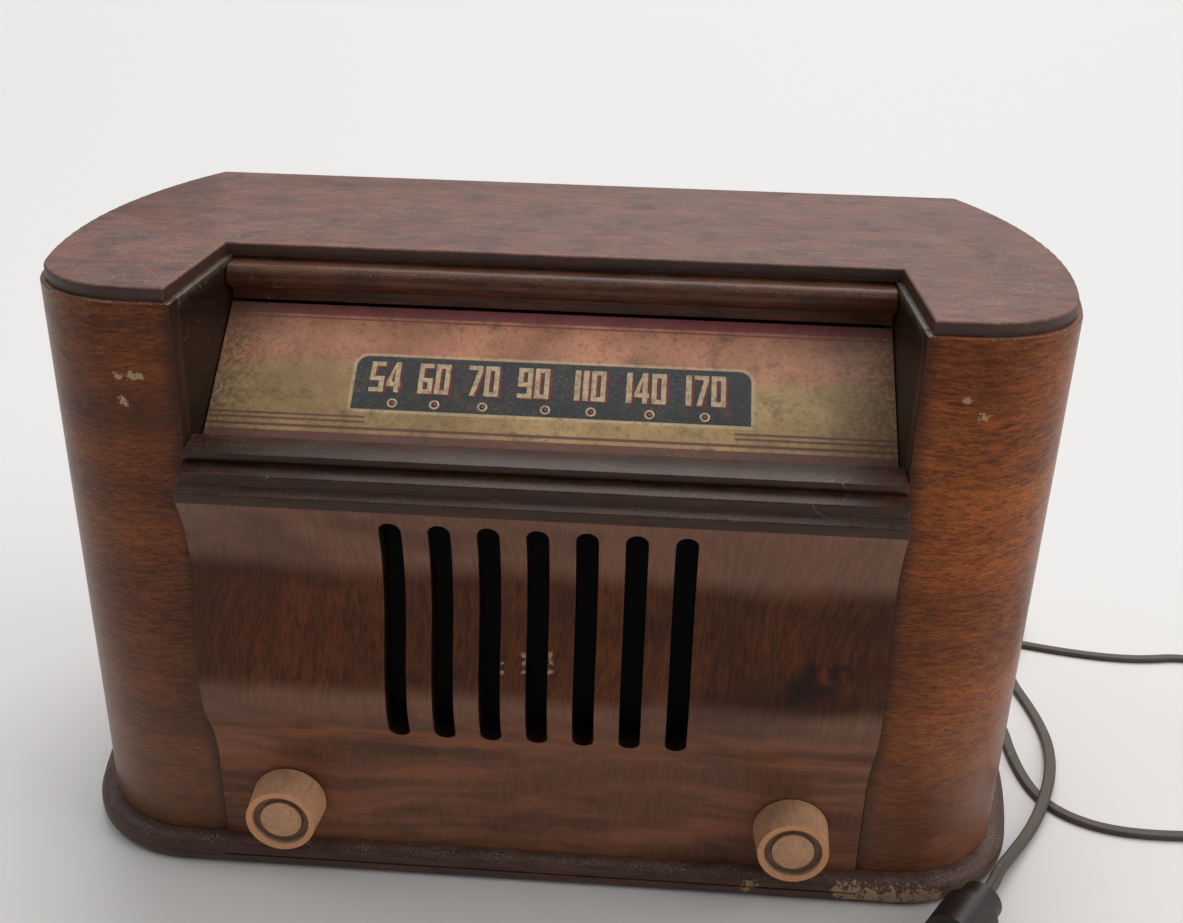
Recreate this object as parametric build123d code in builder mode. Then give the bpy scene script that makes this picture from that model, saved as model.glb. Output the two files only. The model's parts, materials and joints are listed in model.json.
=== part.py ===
"""Wooden table radio with bent side wraps, a sloped dial in a stepped bay and a slotted S-shaped front.

Millimetres, +Z up. The origin is on the surface that the radio stands on, in the middle of the cabinet
and its knobs. The front faces -Y. Depths are measured back from the flat fronts of the side wraps.
"""
import os
from math import asin, atan2, cos, degrees, hypot, pi, radians, sin, sqrt, tan

from build123d import *

# Cabinet
CABINET_HEIGHT = 261.0
BODY_DEPTH = 219.0
BODY_HALF = 213.4          # greatest half width of the side wraps
SIDE_PEAK = 111.0          # depth at which they are that wide
SIDE_R = 287.0
CORNER_R = 50.0
WRAP_T = 9.0
BASE_T = 13.0
BASE_LIP = 7.7
BASE_ROUND = 5.5
BASE_QUIRK = 1.0
TOP_LIP = 5.5              # edge of the top board above the wraps
TOP_INSET = 2.0
TOP_SPIGOT = 6.0
TOP_EDGE_ROUND = 1.2
RECESS_HALF = 138.5
RECESS_DEPTH = 73.0
RECESS_LEDGE = 2.5
CHEEK_T = 8.0
CHEEK_BELOW_SILL = 5.0
JOINERY_GAP = 0.2

# Bay mouldings
HEADER_NOSE = 11.0         # how far the round nose stands out of the bay's back edge
HEADER_NOSE_H = 10.5
HEADER_QUIRK = 1.5
HEADER_STEP_H = 5.3
HEADER_STEP_BACK = 6.0
HEADER_BACK = 12.0
HEADER_LAP = 1.0           # of the top board over the header's back
SILL_BACK = 9.0
SILL_NOSES = (5.5, 12.0, 16.2)
SILL_TREAD_FALL = 1.6
SILL_HEIGHTS = (6.0, 6.5, 6.0)
SILL_GROOVE = 1.6
SILL_ROUND = 2.6

# Front panel
PANEL_PROUD = 1.0
FOOT_H = 40.0
FOOT_R = 45.0
BULGE_LOW_R = 41.0
BULGE_TURN = 31.0
BULGE_HIGH_R = 99.0
COVE_LOW_R = 99.0
COVE_TURN = 14.6
COVE_HIGH_R = 73.0
LIP_TURN = 28.5
SLOT_COUNT = 7
SLOT_PITCH = 19.05
SLOT_W = 8.8
SLOT_BELOW_SILL = 5.6
SLOT_ABOVE_FOOT = 21.5
BLOCK_W = 26.0
BLOCK_D = 14.0
BLOCK_H = 36.0

# Dial
GLASS_T = 2.5
GLASS_SIDE_GAP = 0.3
GLASS_HEAD_GAP = 0.8
GLASS_HEAD_OUT = 1.0       # head of the glass in front of the header's step
GLASS_SEAT = 5.5           # foot of the glass behind the sill
GLASS_SEAT_H = 8.0
TRAY_DEPTH = 14.0
TRAY_T = 1.2
RAIL_D = 3.0
RAIL_DOWN = 8.0
RAIL_BEHIND_GLASS = 6.5
CARRIAGE_L = 10.0
CARRIAGE_W = 7.0
NEEDLE_W = 1.2
NEEDLE_T = 0.8
NEEDLE_L = 40.0
LAMP_X = 100.0
LAMP_D = 10.0
LAMP_L = 11.0
LAMP_CAP_D = 9.0
LAMP_CAP_L = 9.0

# Speaker
BAFFLE_T = 6.0
BAFFLE_HALF = 95.0
BAFFLE_ABOVE_BASE = 25.0
CLOTH_T = 0.8
CLOTH_MARGIN = 8.0
CLOTH_ABOVE_FOOT = 15.0
SPEAKER_R = 63.5
SPEAKER_HOLE_R = 52.0
SPEAKER_FLANGE_T = 1.5
SPEAKER_HEAD_GAP = 0.8
BASKET_R = 57.2
BASKET_BACK_R = 28.0
BASKET_L = 33.0
BASKET_T = 1.2
BASKET_WINDOW_R = 8.5
CONE_RIM_R = 54.5
CONE_RIM_W = 5.0
CONE_L = 24.0
CONE_T = 0.8
CAP_R = 13.0
MAGNET_R = 25.0
MAGNET_L = 22.0

# Chassis and what stands on it
CHASSIS_HALF = 132.0
CHASSIS_DEPTH = 42.0
CHASSIS_D = 145.0
CHASSIS_H = 45.0
SHEET_T = 1.2
LIP_W = 14.0
BOLT_D = 4.8
BOLT_HEAD_D = 10.0
BOLT_HEAD_H = 3.5
BOLT_SINK = 5.5
BOLT_L = 12.0
BOLT_HEAD_GAP = 1.0
BOLT_INSET = 25.0          # from the chassis front and back
HOLE_GAP = 0.2
TUBE_COUNT = 5
TUBE_INSET = 27.0          # first valve, in from the chassis side
TUBE_FAR_INSET = 37.0
TUBE_DEPTH = 158.0
SOCKET_D = 27.0
SOCKET_FLANGE_D = 34.0
SOCKET_T = 2.0
SOCKET_L = 8.0
TUBE_BASE_D = 32.0
TUBE_BASE_H = 18.0
TUBE_D = 29.5
TUBE_H = 58.0
CAN_W = 35.0
CAN_H = 78.0
CAN_X = (-45.0, 8.0)
CAN_DEPTH = 108.0
FILTER_D = 26.0
FILTER_H = 68.0
FILTER_INSET = 32.0
TRANSFORMER_INSET = 34.0
TRANSFORMER_DEPTH = 66.0
CORE_W = 48.0
CORE_T = 18.0
CORE_H = 40.0

# Tuning drive and controls
SHAFT_INSET = 23.5         # control shafts, in from the chassis sides
SHAFT_Z = 34.0
SHAFT_D = 6.35
RUNNING_GAP = 0.05
BUSH_D = 9.5
BUSH_NUT = 14.0
NUT_T = 2.4
BUSH_OUT = 6.0
JOURNAL_D = 6.0
SHAFT_TAIL = 18.0
CLIP_T = 0.7
DRUM_R = 42.0
DRUM_W = 6.0
DRUM_GROOVE = 1.5
DRUM_HUB_D = 16.0
DRUM_HUB_L = 5.0
DRUM_WINDOW_D = 17.0
DRUM_INSET = 37.0          # in from the chassis side
DRUM_BEHIND_APRON = 5.0
DRUM_CLEAR = 4.0
GANG_HALF = 24.0
GANG_PLATE_T = 2.0
GANG_PLATES = 6
GANG_PITCH = 7.0
GANG_VANE_T = 1.2
GANG_VANE_R = 20.0
GANG_SIDE_GAP = 2.0
GANG_BEHIND_HUB = 2.0
POT_D = 24.0
POT_L = 12.0
SWITCH_D = 19.0
SWITCH_L = 9.0
POT_BORE_L = 4.0
KNOB_L = 15.0
KNOB_GAP = 1.0
KNOB_R = 16.0
KNOB_FACE_R = 14.8
KNOB_EDGE_R = 1.6
KNOB_GROOVE_R = 12.2
KNOB_DISC_R = 8.8
KNOB_GROOVE_DEPTH = 2.4
KNOB_DOME = 1.0
KNOB_BORE_L = 10.0
KNOB_HOLLOW_R = 12.5
KNOB_HOLLOW = 2.0
PANEL_HOLE_D = 12.0

# Back
COVER_T = 3.2
COVER_SINK = 5.0
COVER_GAP = 0.6
VENT_D = 8.0
VENT_PITCH = 20.0
VENT_COLUMNS = 9
VENT_UPPER_ROWS = 3
VENT_LOWER_ROWS = 2
VENT_LOWER_Z = 82.0
LOOP_HALF = 125.0
LOOP_HALF_H = 58.0
LOOP_BAND = 18.0
LOOP_T = 3.0
LOOP_CORNER = 20.0
LOOP_HEAD_GAP = 8.5        # under the top board
BATTEN_W = 15.0
BATTEN_D = 14.0
SCREW_D = 3.5
SCREW_HEAD_D = 8.0
SCREW_HEAD_H = 2.2
SCREW_L = 13.0
SCREW_INSET = 8.0
SCREW_ROWS = 3
SCREW_END = 20.0

# Lead
CORD_D = 5.6
EXIT_X = 120.0
EXIT_Z = 35.0
GROMMET_D = 12.6
GROMMET_FLANGE_D = 17.0
GROMMET_FLANGE_T = 1.6
GROMMET_SLEEVE_D = 11.0
GROMMET_TIP_D = 8.0
GROMMET_L = 22.0
COIL_OUT = 166.6           # middle of the coil, out from the widest part of the side
COIL_BACK = 0.5342         # and back, as a share of the body depth
COIL_MID_R = 30.5
COIL_PITCH = 6.3
COIL_LAYER = 6.2
COIL_TURNS = 4
COIL_ENTRY = -50.0
COIL_EXIT = 20.0
TIE_T = 0.8
TIE_W = 6.0
TIE_GAP = 0.5
TIE_ANGLE = 150.0
COLLAR_D = 18.0
COLLAR_L = 9.0
WAIST_D = 12.0
PLUG_D = 24.0
PLUG_L = 20.0
PLUG_ROUND = 5.0
PLUG_LIFT = 0.2
BLADE_W = 6.35
BLADE_T = 1.5
BLADE_L = 17.0
BLADE_SPACING = 12.7
PLUG_OUT = -23.4           # where the lead enters the plug
PLUG_BACK = -0.0589
PLUG_HEADING = -125.0
# Floor points of the lead: out from the widest part of the side, share of the body depth, lift.
LEAD_OUT = (
    (-55.4, 1.2785, 0.0),
    (-38.4, 1.2466, 0.0),
    (-22.4, 1.1918, 0.0),
    (-8.4, 1.1233, 0.0),
    (1.6, 1.0411, 0.0),
    (7.6, 0.9498, 0.0),
    (12.6, 0.8539, 0.0),
    (16.6, 0.7580, 0.0),
    (18.6, 0.6621, 0.0),
    (19.3, 0.5708, 0.0),
    (18.6, 0.4977, 0.0),
    (19.6, 0.4155, 0.0),
    (23.1, 0.3379, 0.0),
    (31.6, 0.2831, 0.0),
    (43.6, 0.2489, 0.0),
    (56.6, 0.2329, 0.0),
    (70.6, 0.2283, 0.0),
    (90.6, 0.2315, 0.0),
    (117.1, 0.2447, 0.0),
    (136.7, 0.2621, 0.0),
    (155.5, 0.2932, 0.4),
)
LEAD_BACK = (
    (185.6, 0.7671, 3.7),
    (175.6, 0.8447, 0.8),
    (164.1, 0.9087, 0.0),
    (149.6, 0.9521, 0.0),
    (136.1, 0.9589, 0.0),
    (124.6, 0.9475, 0.0),
    (110.6, 0.9402, 0.0),
    (92.6, 0.9434, 0.0),
    (71.6, 0.9598, 0.0),
    (50.6, 0.9836, 0.0),
    (33.6, 1.0091, 0.0),
    (18.6, 1.0502, 0.0),
    (10.1, 1.1187, 0.0),
    (14.6, 1.1918, 0.0),
    (28.6, 1.2352, 0.0),
    (44.6, 1.2215, 0.0),
    (54.6, 1.1621, 0.0),
    (54.6, 1.0913, 2.2),
    (48.6, 1.0251, 6.2),
    (44.6, 0.9612, 6.2),
    (39.1, 0.8995, 2.7),
    (35.4, 0.8402, 0.4),
    (35.1, 0.7854, 0.0),
    (39.1, 0.6804, 0.0),
    (40.6, 0.5708, 0.8),
    (37.6, 0.4749, 3.6),
    (31.6, 0.3836, 6.4),
    (24.6, 0.3059, 6.4),
    (17.6, 0.2420, 4.0),
    (9.1, 0.1804, 3.6),
    (-0.9, 0.1119, 5.2),
    (-10.9, 0.0411, 7.6),
)

# What follows from those sizes
PANEL_T = WRAP_T + PANEL_PROUD
front_reach = max(PANEL_PROUD + KNOB_GAP + KNOB_L, max(SILL_NOSES))
front = -(BODY_DEPTH - front_reach) / 2
back = front + BODY_DEPTH
wrap_top = CABINET_HEIGHT - TOP_LIP
spigot_bottom = wrap_top - TOP_SPIGOT
foot_top = BASE_T + FOOT_H
bulge_turn = radians(BULGE_TURN)
cove_turn = radians(COVE_TURN)
lip_turn = radians(LIP_TURN)
panel_top = (
    foot_top
    + (FOOT_R + BULGE_LOW_R) * sin(bulge_turn)
    + (BULGE_HIGH_R + COVE_LOW_R) * sin(cove_turn)
    + COVE_HIGH_R * sin(lip_turn)
)
sill_top = panel_top + sum(SILL_HEIGHTS)
header_top = wrap_top - HEADER_QUIRK
header_bottom = header_top - HEADER_NOSE_H - HEADER_STEP_H
header_face = RECESS_DEPTH - HEADER_NOSE + HEADER_STEP_BACK
cover_front = BODY_DEPTH - COVER_SINK - COVER_T
chassis_top = BASE_T + CHASSIS_H
chassis_front = front + CHASSIS_DEPTH
chassis_back = chassis_front + CHASSIS_D
shaft_x = CHASSIS_HALF - SHAFT_INSET
drum_x = CHASSIS_HALF - DRUM_INSET
tube_pitch = (2 * CHASSIS_HALF - TUBE_INSET - TUBE_FAR_INSET) / (TUBE_COUNT - 1)
tube_x = [TUBE_INSET - CHASSIS_HALF + n * tube_pitch for n in range(TUBE_COUNT)]
filter_x = FILTER_INSET - CHASSIS_HALF
transformer_x = TRANSFORMER_INSET - CHASSIS_HALF
side_centre = (BODY_HALF - SIDE_R, front + SIDE_PEAK)
corner_x = side_centre[0] + sqrt((SIDE_R - CORNER_R) ** 2 - (SIDE_PEAK - CORNER_R) ** 2)
corner_centre = (corner_x, front + CORNER_R)
turn_angle = degrees(atan2(CORNER_R - SIDE_PEAK, corner_x - side_centre[0]))


def side_at(depth, grow):
    """Half width of the cabinet outline at a depth, grown outwards by grow."""
    return side_centre[0] + sqrt((SIDE_R + grow) ** 2 - (depth - SIDE_PEAK) ** 2)


def cabinet_outline(grow, depth=BODY_DEPTH):
    """The plan outline of the side wraps, grown outwards by grow and cut straight at a depth."""
    end_angle = degrees(asin((depth - SIDE_PEAK) / (SIDE_R + grow)))
    with BuildSketch() as outline:
        with BuildLine():
            Line((0, front - grow), (corner_x, front - grow))
            CenterArc(corner_centre, CORNER_R + grow, -90, turn_angle + 90)
            CenterArc(side_centre, SIDE_R + grow, turn_angle, end_angle - turn_angle)
            Line((side_at(depth, grow), front + depth), (0, front + depth))
            mirror(about=Plane.YZ)
        make_face()
    return outline.sketch


def bay_notch(half, depth):
    """The plan of the dial bay, open at the front."""
    with BuildSketch() as notch:
        with Locations((0, front - front_reach)):
            Rectangle(2 * half, depth + front_reach, align=(Align.CENTER, Align.MIN))
    return notch.sketch


def save(built, name):
    built.part.label = name
    export_step(built.part, f"parts/{name}.step")


os.makedirs("parts", exist_ok=True)

# Base board: bullnosed all round but at the back, with a quirk under the front panel and sunk bolt holes.
bolt_x = CHASSIS_HALF - SHEET_T - LIP_W / 2
bolt_y = chassis_front + CHASSIS_D / 2
bolt_span = CHASSIS_D - 2 * BOLT_INSET
with BuildPart() as base_board:
    with BuildSketch():
        add(cabinet_outline(BASE_LIP))
    extrude(amount=BASE_T)
    outer_edges = base_board.edges().filter_by(
        lambda e: e.center().Y < back - 1 and abs(e.bounding_box().size.Z) < 1e-6
    )
    fillet(outer_edges, BASE_ROUND)
    with Locations((0, front - BASE_LIP, BASE_T / 2)):
        Box(2 * RECESS_HALF, 2 * BASE_QUIRK, BASE_QUIRK, mode=Mode.SUBTRACT)
    with Locations((0, bolt_y, 0)):
        with GridLocations(2 * bolt_x, bolt_span, 2, 2):
            Cylinder(
                BOLT_HEAD_D / 2 + BOLT_HEAD_GAP,
                BOLT_SINK,
                align=(Align.CENTER, Align.CENTER, Align.MIN),
                mode=Mode.SUBTRACT,
            )
            Cylinder(
                BOLT_D / 2 + HOLE_GAP,
                BASE_T,
                align=(Align.CENTER, Align.CENTER, Align.MIN),
                mode=Mode.SUBTRACT,
            )
save(base_board, "base_board")

# Side wraps: bent plywood shells from the bay's edge round the front corner and back along the side.
with BuildPart() as right_side_wrap:
    with BuildSketch(Plane.XY.offset(BASE_T)):
        add(cabinet_outline(0))
        add(cabinet_outline(-WRAP_T), mode=Mode.SUBTRACT)
        with Locations((RECESS_HALF, front)):
            Rectangle(BODY_HALF, BODY_DEPTH, align=(Align.MIN, Align.MIN), mode=Mode.INTERSECT)
    extrude(amount=wrap_top - BASE_T)
save(right_side_wrap, "right_side_wrap")
with BuildPart() as left_side_wrap:
    add(mirror(right_side_wrap.part, about=Plane.YZ, mode=Mode.PRIVATE))
save(left_side_wrap, "left_side_wrap")

# Top board: its edge stands back from the wraps, and a spigot under it drops between them.
with BuildPart() as top_board:
    with BuildSketch(Plane.XY.offset(wrap_top)):
        add(cabinet_outline(-TOP_INSET))
        add(bay_notch(RECESS_HALF + RECESS_LEDGE, RECESS_DEPTH), mode=Mode.SUBTRACT)
    extrude(amount=TOP_LIP)
    fillet(top_board.faces().sort_by(Axis.Z)[-1].edges(), TOP_EDGE_ROUND)
    with BuildSketch(Plane.XY.offset(spigot_bottom)):
        add(cabinet_outline(-WRAP_T - JOINERY_GAP, cover_front - JOINERY_GAP))
        add(
            bay_notch(RECESS_HALF + CHEEK_T + JOINERY_GAP, RECESS_DEPTH + HEADER_BACK + JOINERY_GAP),
            mode=Mode.SUBTRACT,
        )
    extrude(amount=TOP_SPIGOT)
save(top_board, "top_board")

# Cheeks: the side boards of the dial bay, glued behind the wraps' front edges.
for side, name in ((-1, "left_cheek"), (1, "right_cheek")):
    with BuildPart() as cheek:
        with Locations((side * (RECESS_HALF + CHEEK_T / 2), front + WRAP_T, panel_top - CHEEK_BELOW_SILL)):
            Box(
                CHEEK_T,
                RECESS_DEPTH + HEADER_BACK - WRAP_T,
                wrap_top - panel_top + CHEEK_BELOW_SILL,
                align=(Align.CENTER, Align.MIN, Align.MIN),
            )
    save(cheek, name)

# Header moulding: a round nose over a small step, across the back of the bay.
bay_width = 2 * (RECESS_HALF - JOINERY_GAP)
nose_r = HEADER_NOSE_H / 2
nose_y = front + RECESS_DEPTH - HEADER_NOSE
header_back = front + RECESS_DEPTH + HEADER_BACK
with BuildPart() as header_moulding:
    with BuildSketch(Plane.YZ.offset(-bay_width / 2)):
        with BuildLine():
            Polyline(
                (nose_y + nose_r, header_top),
                (front + RECESS_DEPTH + HEADER_LAP, header_top),
                (front + RECESS_DEPTH + HEADER_LAP, wrap_top),
                (header_back, wrap_top),
                (header_back, header_bottom),
                (front + header_face, header_bottom),
                (front + header_face, header_top - HEADER_NOSE_H),
                (nose_y + nose_r, header_top - HEADER_NOSE_H),
            )
            ThreePointArc(
                (nose_y + nose_r, header_top - HEADER_NOSE_H),
                (nose_y, header_top - nose_r),
                (nose_y + nose_r, header_top),
            )
        make_face()
    extrude(amount=bay_width)
save(header_moulding, "header_moulding")

# Sill moulding: three treads, each standing further out than the one above, with rounded noses.
tread_1 = sill_top
tread_2 = sill_top - SILL_HEIGHTS[0]
tread_3 = tread_2 - SILL_HEIGHTS[1]
noses = [front - nose for nose in SILL_NOSES]
with BuildPart() as sill_moulding:
    with BuildSketch(Plane.YZ.offset(-bay_width / 2)) as sill_profile:
        with BuildLine():
            Polyline(
                (front + SILL_BACK, panel_top),
                (front + SILL_BACK, tread_1),
                (noses[0], tread_1 - SILL_TREAD_FALL),
                (noses[0], tread_2 + SILL_GROOVE),
                (noses[0] + SILL_GROOVE, tread_2),
                (noses[1], tread_2 - SILL_TREAD_FALL),
                (noses[1], tread_3),
                (noses[2], tread_3 - SILL_TREAD_FALL),
                (noses[2], panel_top),
                close=True,
            )
        make_face()
        nose_corners = [
            v
            for nose, tread in zip(noses, (tread_1, tread_2, tread_3))
            for v in sill_profile.vertices()
            if abs(v.Y - nose) < 0.01 and abs(v.Z - tread + SILL_TREAD_FALL) < 0.01
        ]
        fillet(nose_corners, SILL_ROUND)
    extrude(amount=bay_width)
save(sill_moulding, "sill_moulding")

# Front panel: moulded to an S in profile, with a flat foot for the knobs and seven round-ended slots.
slot_bottom = foot_top + SLOT_ABOVE_FOOT
slot_top = panel_top - SLOT_BELOW_SILL
panel_face = front - PANEL_PROUD
with BuildPart() as front_panel:
    with BuildSketch(Plane.YZ.offset(-bay_width / 2)):
        with BuildLine():
            foot = Line((panel_face, BASE_T), (panel_face, foot_top))
            foot_arc = JernArc(foot @ 1, foot % 1, FOOT_R, BULGE_TURN)
            low_arc = JernArc(foot_arc @ 1, foot_arc % 1, BULGE_LOW_R, -BULGE_TURN)
            high_arc = JernArc(low_arc @ 1, low_arc % 1, BULGE_HIGH_R, -COVE_TURN)
            cove_arc = JernArc(high_arc @ 1, high_arc % 1, COVE_LOW_R, COVE_TURN)
            lip_arc = JernArc(cove_arc @ 1, cove_arc % 1, COVE_HIGH_R, LIP_TURN)
            offset(amount=PANEL_T, side=Side.RIGHT)
        make_face()
    extrude(amount=bay_width)
    with BuildSketch(Plane.XZ.offset(-front - BODY_DEPTH / 2)):
        with Locations((0, (slot_bottom + slot_top) / 2)):
            with GridLocations(SLOT_PITCH, 1, SLOT_COUNT, 1):
                SlotOverall(slot_top - slot_bottom, SLOT_W, rotation=90)
        with Locations((-shaft_x, SHAFT_Z), (shaft_x, SHAFT_Z)):
            Circle(PANEL_HOLE_D / 2)
    extrude(amount=BODY_DEPTH, mode=Mode.SUBTRACT)
    split(bisect_by=Plane.XY.offset(panel_top), keep=Keep.BOTTOM)
save(front_panel, "front_panel")

# Corner blocks: glued behind the joint of the front panel and the wraps, and cut clear of the control shafts.
with BuildPart() as corner_blocks:
    with BuildSketch(Plane.XY.offset(BASE_T)):
        with Locations((-RECESS_HALF, front + WRAP_T), (RECESS_HALF, front + WRAP_T)):
            Rectangle(BLOCK_W, BLOCK_D, align=(Align.CENTER, Align.MIN))
        add(cabinet_outline(-WRAP_T), mode=Mode.INTERSECT)
    extrude(amount=BLOCK_H)
    with BuildSketch(Plane.XZ.offset(-front - BODY_DEPTH / 2)):
        with Locations((-shaft_x, SHAFT_Z), (shaft_x, SHAFT_Z)):
            Circle(PANEL_HOLE_D / 2)
    extrude(amount=BODY_DEPTH, mode=Mode.SUBTRACT)
save(corner_blocks, "corner_blocks")

# Dial glass: leans back across the bay from behind the sill to under the header.
glass_head = (front + header_face - GLASS_HEAD_OUT, header_bottom - GLASS_HEAD_GAP)
glass_foot = (front + SILL_BACK + GLASS_SEAT, sill_top - GLASS_SEAT_H)
glass_run = glass_head[0] - glass_foot[0]
glass_rise = glass_head[1] - glass_foot[1]
glass_l = hypot(glass_run, glass_rise)
glass_half = RECESS_HALF - GLASS_SIDE_GAP
dial_plane = Plane(
    origin=(0, (glass_head[0] + glass_foot[0]) / 2, (glass_head[1] + glass_foot[1]) / 2),
    x_dir=(1, 0, 0),
    z_dir=(0, -glass_rise / glass_l, glass_run / glass_l),
)
with BuildPart() as dial_glass:
    with BuildSketch(dial_plane.offset(-GLASS_T)):
        Rectangle(2 * glass_half, glass_l)
    extrude(amount=GLASS_T)
save(dial_glass, "dial_glass")

# Reflector tray: a sheet tray against the back of the glass, with two lamp holes.
tray_back = -GLASS_T - TRAY_DEPTH
with BuildPart() as dial_reflector:
    with BuildSketch(dial_plane.offset(tray_back)):
        Rectangle(2 * glass_half, glass_l)
    extrude(amount=TRAY_DEPTH)
    with BuildSketch(dial_plane.offset(tray_back + TRAY_T)):
        Rectangle(2 * (glass_half - TRAY_T), glass_l - 2 * TRAY_T)
    extrude(amount=TRAY_DEPTH, mode=Mode.SUBTRACT)
    with BuildSketch(dial_plane.offset(tray_back)):
        with Locations((-LAMP_X, 0), (LAMP_X, 0)):
            Circle(LAMP_CAP_D / 2 + HOLE_GAP)
    extrude(amount=TRAY_T, mode=Mode.SUBTRACT)
save(dial_reflector, "dial_reflector")

# Dial lamps: bayonet caps through the tray, round globes in front.
with BuildPart() as dial_lamps:
    for lamp_x in (-LAMP_X, LAMP_X):
        with BuildSketch(dial_plane.offset(tray_back - LAMP_CAP_L / 2)):
            with Locations((lamp_x, 0)):
                Circle(LAMP_CAP_D / 2)
        extrude(amount=LAMP_CAP_L)
        with BuildSketch(dial_plane.offset(tray_back + LAMP_CAP_L / 2)):
            with Locations((lamp_x, 0)):
                Circle(LAMP_D / 2)
        extrude(amount=LAMP_L - LAMP_CAP_L / 2)
save(dial_lamps, "dial_lamps")

# Pointer rail and pointer: the carriage slides along a rod between the tray's ends.
rail_y = glass_l / 2 - RAIL_DOWN
rail_z = -GLASS_T - RAIL_BEHIND_GLASS
rail_middle = dial_plane.from_local_coords(Vector(0, rail_y, rail_z))
rail_half = glass_half - TRAY_T
with BuildPart() as pointer_rail:
    with BuildSketch(Plane.YZ.offset(-rail_half)):
        with Locations((rail_middle.Y, rail_middle.Z)):
            Circle(RAIL_D / 2)
    extrude(amount=2 * rail_half)
save(pointer_rail, "pointer_rail")

needle_front = -GLASS_T - JOINERY_GAP - GLASS_SIDE_GAP
carriage_front = rail_z + CARRIAGE_W / 2
with BuildPart() as dial_pointer:
    with BuildSketch(dial_plane.offset(rail_z - CARRIAGE_W / 2)):
        with Locations((0, rail_y)):
            Rectangle(CARRIAGE_L, CARRIAGE_W)
    extrude(amount=CARRIAGE_W)
    with BuildSketch(dial_plane.offset(carriage_front)):
        with Locations((0, rail_y)):
            Rectangle(CARRIAGE_L / 2, CARRIAGE_W)
    extrude(amount=needle_front - carriage_front)
    with BuildSketch(dial_plane.offset(needle_front - NEEDLE_T)):
        with Locations((0, rail_y - NEEDLE_L / 2)):
            Rectangle(NEEDLE_W, NEEDLE_L + CARRIAGE_W)
    extrude(amount=NEEDLE_T)
    with BuildSketch(Plane.YZ.offset(-CARRIAGE_L)):
        with Locations((rail_middle.Y, rail_middle.Z)):
            Circle(RAIL_D / 2 + RUNNING_GAP)
    extrude(amount=2 * CARRIAGE_L, mode=Mode.SUBTRACT)
save(dial_pointer, "dial_pointer")

# Speaker baffle and grille cloth, behind the slots.
speaker_z = panel_top - SPEAKER_R - SPEAKER_HEAD_GAP
baffle_bottom = BASE_T + BAFFLE_ABOVE_BASE
with BuildPart() as speaker_baffle:
    with Locations((0, front + WRAP_T, baffle_bottom)):
        Box(
            2 * BAFFLE_HALF,
            BAFFLE_T,
            panel_top - baffle_bottom,
            align=(Align.CENTER, Align.MIN, Align.MIN),
        )
    with Locations(Location((0, front + WRAP_T + BAFFLE_T / 2, speaker_z), (90, 0, 0))):
        Cylinder(SPEAKER_HOLE_R, 2 * BAFFLE_T, mode=Mode.SUBTRACT)
save(speaker_baffle, "speaker_baffle")

cloth_bottom = foot_top + CLOTH_ABOVE_FOOT
with BuildPart() as grille_cloth:
    with Locations((0, front + WRAP_T, cloth_bottom)):
        Box(
            (SLOT_COUNT - 1) * SLOT_PITCH + SLOT_W + 2 * CLOTH_MARGIN,
            CLOTH_T,
            panel_top - CLOTH_T - cloth_bottom,
            align=(Align.CENTER, Align.MAX, Align.MIN),
        )
save(grille_cloth, "grille_cloth")


def turned(profile, x, y, z):
    """A solid of revolution about a line along +Y through (x, y, z): points are (radius, distance back)."""
    with BuildPart() as body:
        with BuildSketch(Plane(origin=(x, y, z), x_dir=(1, 0, 0), z_dir=(0, 0, 1))):
            with BuildLine():
                Polyline(*profile, close=True)
            make_face()
        revolve(axis=Axis((x, y, z), (0, 1, 0)))
    return body.part


# Speaker: pressed frame with four windows, paper cone seated on its rim, magnet on its back.
speaker_y = front + WRAP_T + BAFFLE_T
basket_back = SPEAKER_FLANGE_T + BASKET_L
with BuildPart() as speaker_frame:
    add(
        turned(
            (
                (SPEAKER_HOLE_R, 0),
                (SPEAKER_R, 0),
                (SPEAKER_R, SPEAKER_FLANGE_T),
                (BASKET_R, SPEAKER_FLANGE_T),
                (BASKET_BACK_R, basket_back),
                (0, basket_back),
                (0, basket_back - BASKET_T),
                (BASKET_BACK_R - BASKET_T / 2, basket_back - BASKET_T),
                (BASKET_R - BASKET_T, SPEAKER_FLANGE_T),
                (SPEAKER_HOLE_R, SPEAKER_FLANGE_T),
            ),
            0,
            speaker_y,
            speaker_z,
        )
    )
    for window_angle in (45, 135, 225, 315):
        with Locations(Location((0, speaker_y + basket_back / 2, speaker_z), (0, window_angle, 0))):
            Cylinder(
                BASKET_WINDOW_R,
                SPEAKER_R,
                align=(Align.CENTER, Align.CENTER, Align.MIN),
                mode=Mode.SUBTRACT,
            )
save(speaker_frame, "speaker_frame")

rim_back = SPEAKER_FLANGE_T + CONE_T
with BuildPart() as speaker_cone:
    add(
        turned(
            (
                (CONE_RIM_R, SPEAKER_FLANGE_T),
                (CONE_RIM_R, rim_back),
                (CONE_RIM_R - CONE_RIM_W + CONE_T, rim_back),
                (CAP_R + CONE_T, rim_back + CONE_L),
                (0, rim_back + CONE_L),
                (0, rim_back + CONE_L - CAP_R / 2),
                (CAP_R * 0.7, rim_back + CONE_L - CAP_R / 3),
                (CAP_R, rim_back + CONE_L - 2 * CONE_T),
                (CONE_RIM_R - CONE_RIM_W, SPEAKER_FLANGE_T),
            ),
            0,
            speaker_y,
            speaker_z,
        )
    )
save(speaker_cone, "speaker_cone")

with BuildPart() as speaker_magnet:
    add(
        turned(
            (
                (0, basket_back),
                (MAGNET_R, basket_back),
                (MAGNET_R, basket_back + MAGNET_L),
                (0, basket_back + MAGNET_L),
            ),
            0,
            speaker_y,
            speaker_z,
        )
    )
save(speaker_magnet, "speaker_magnet")

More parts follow.
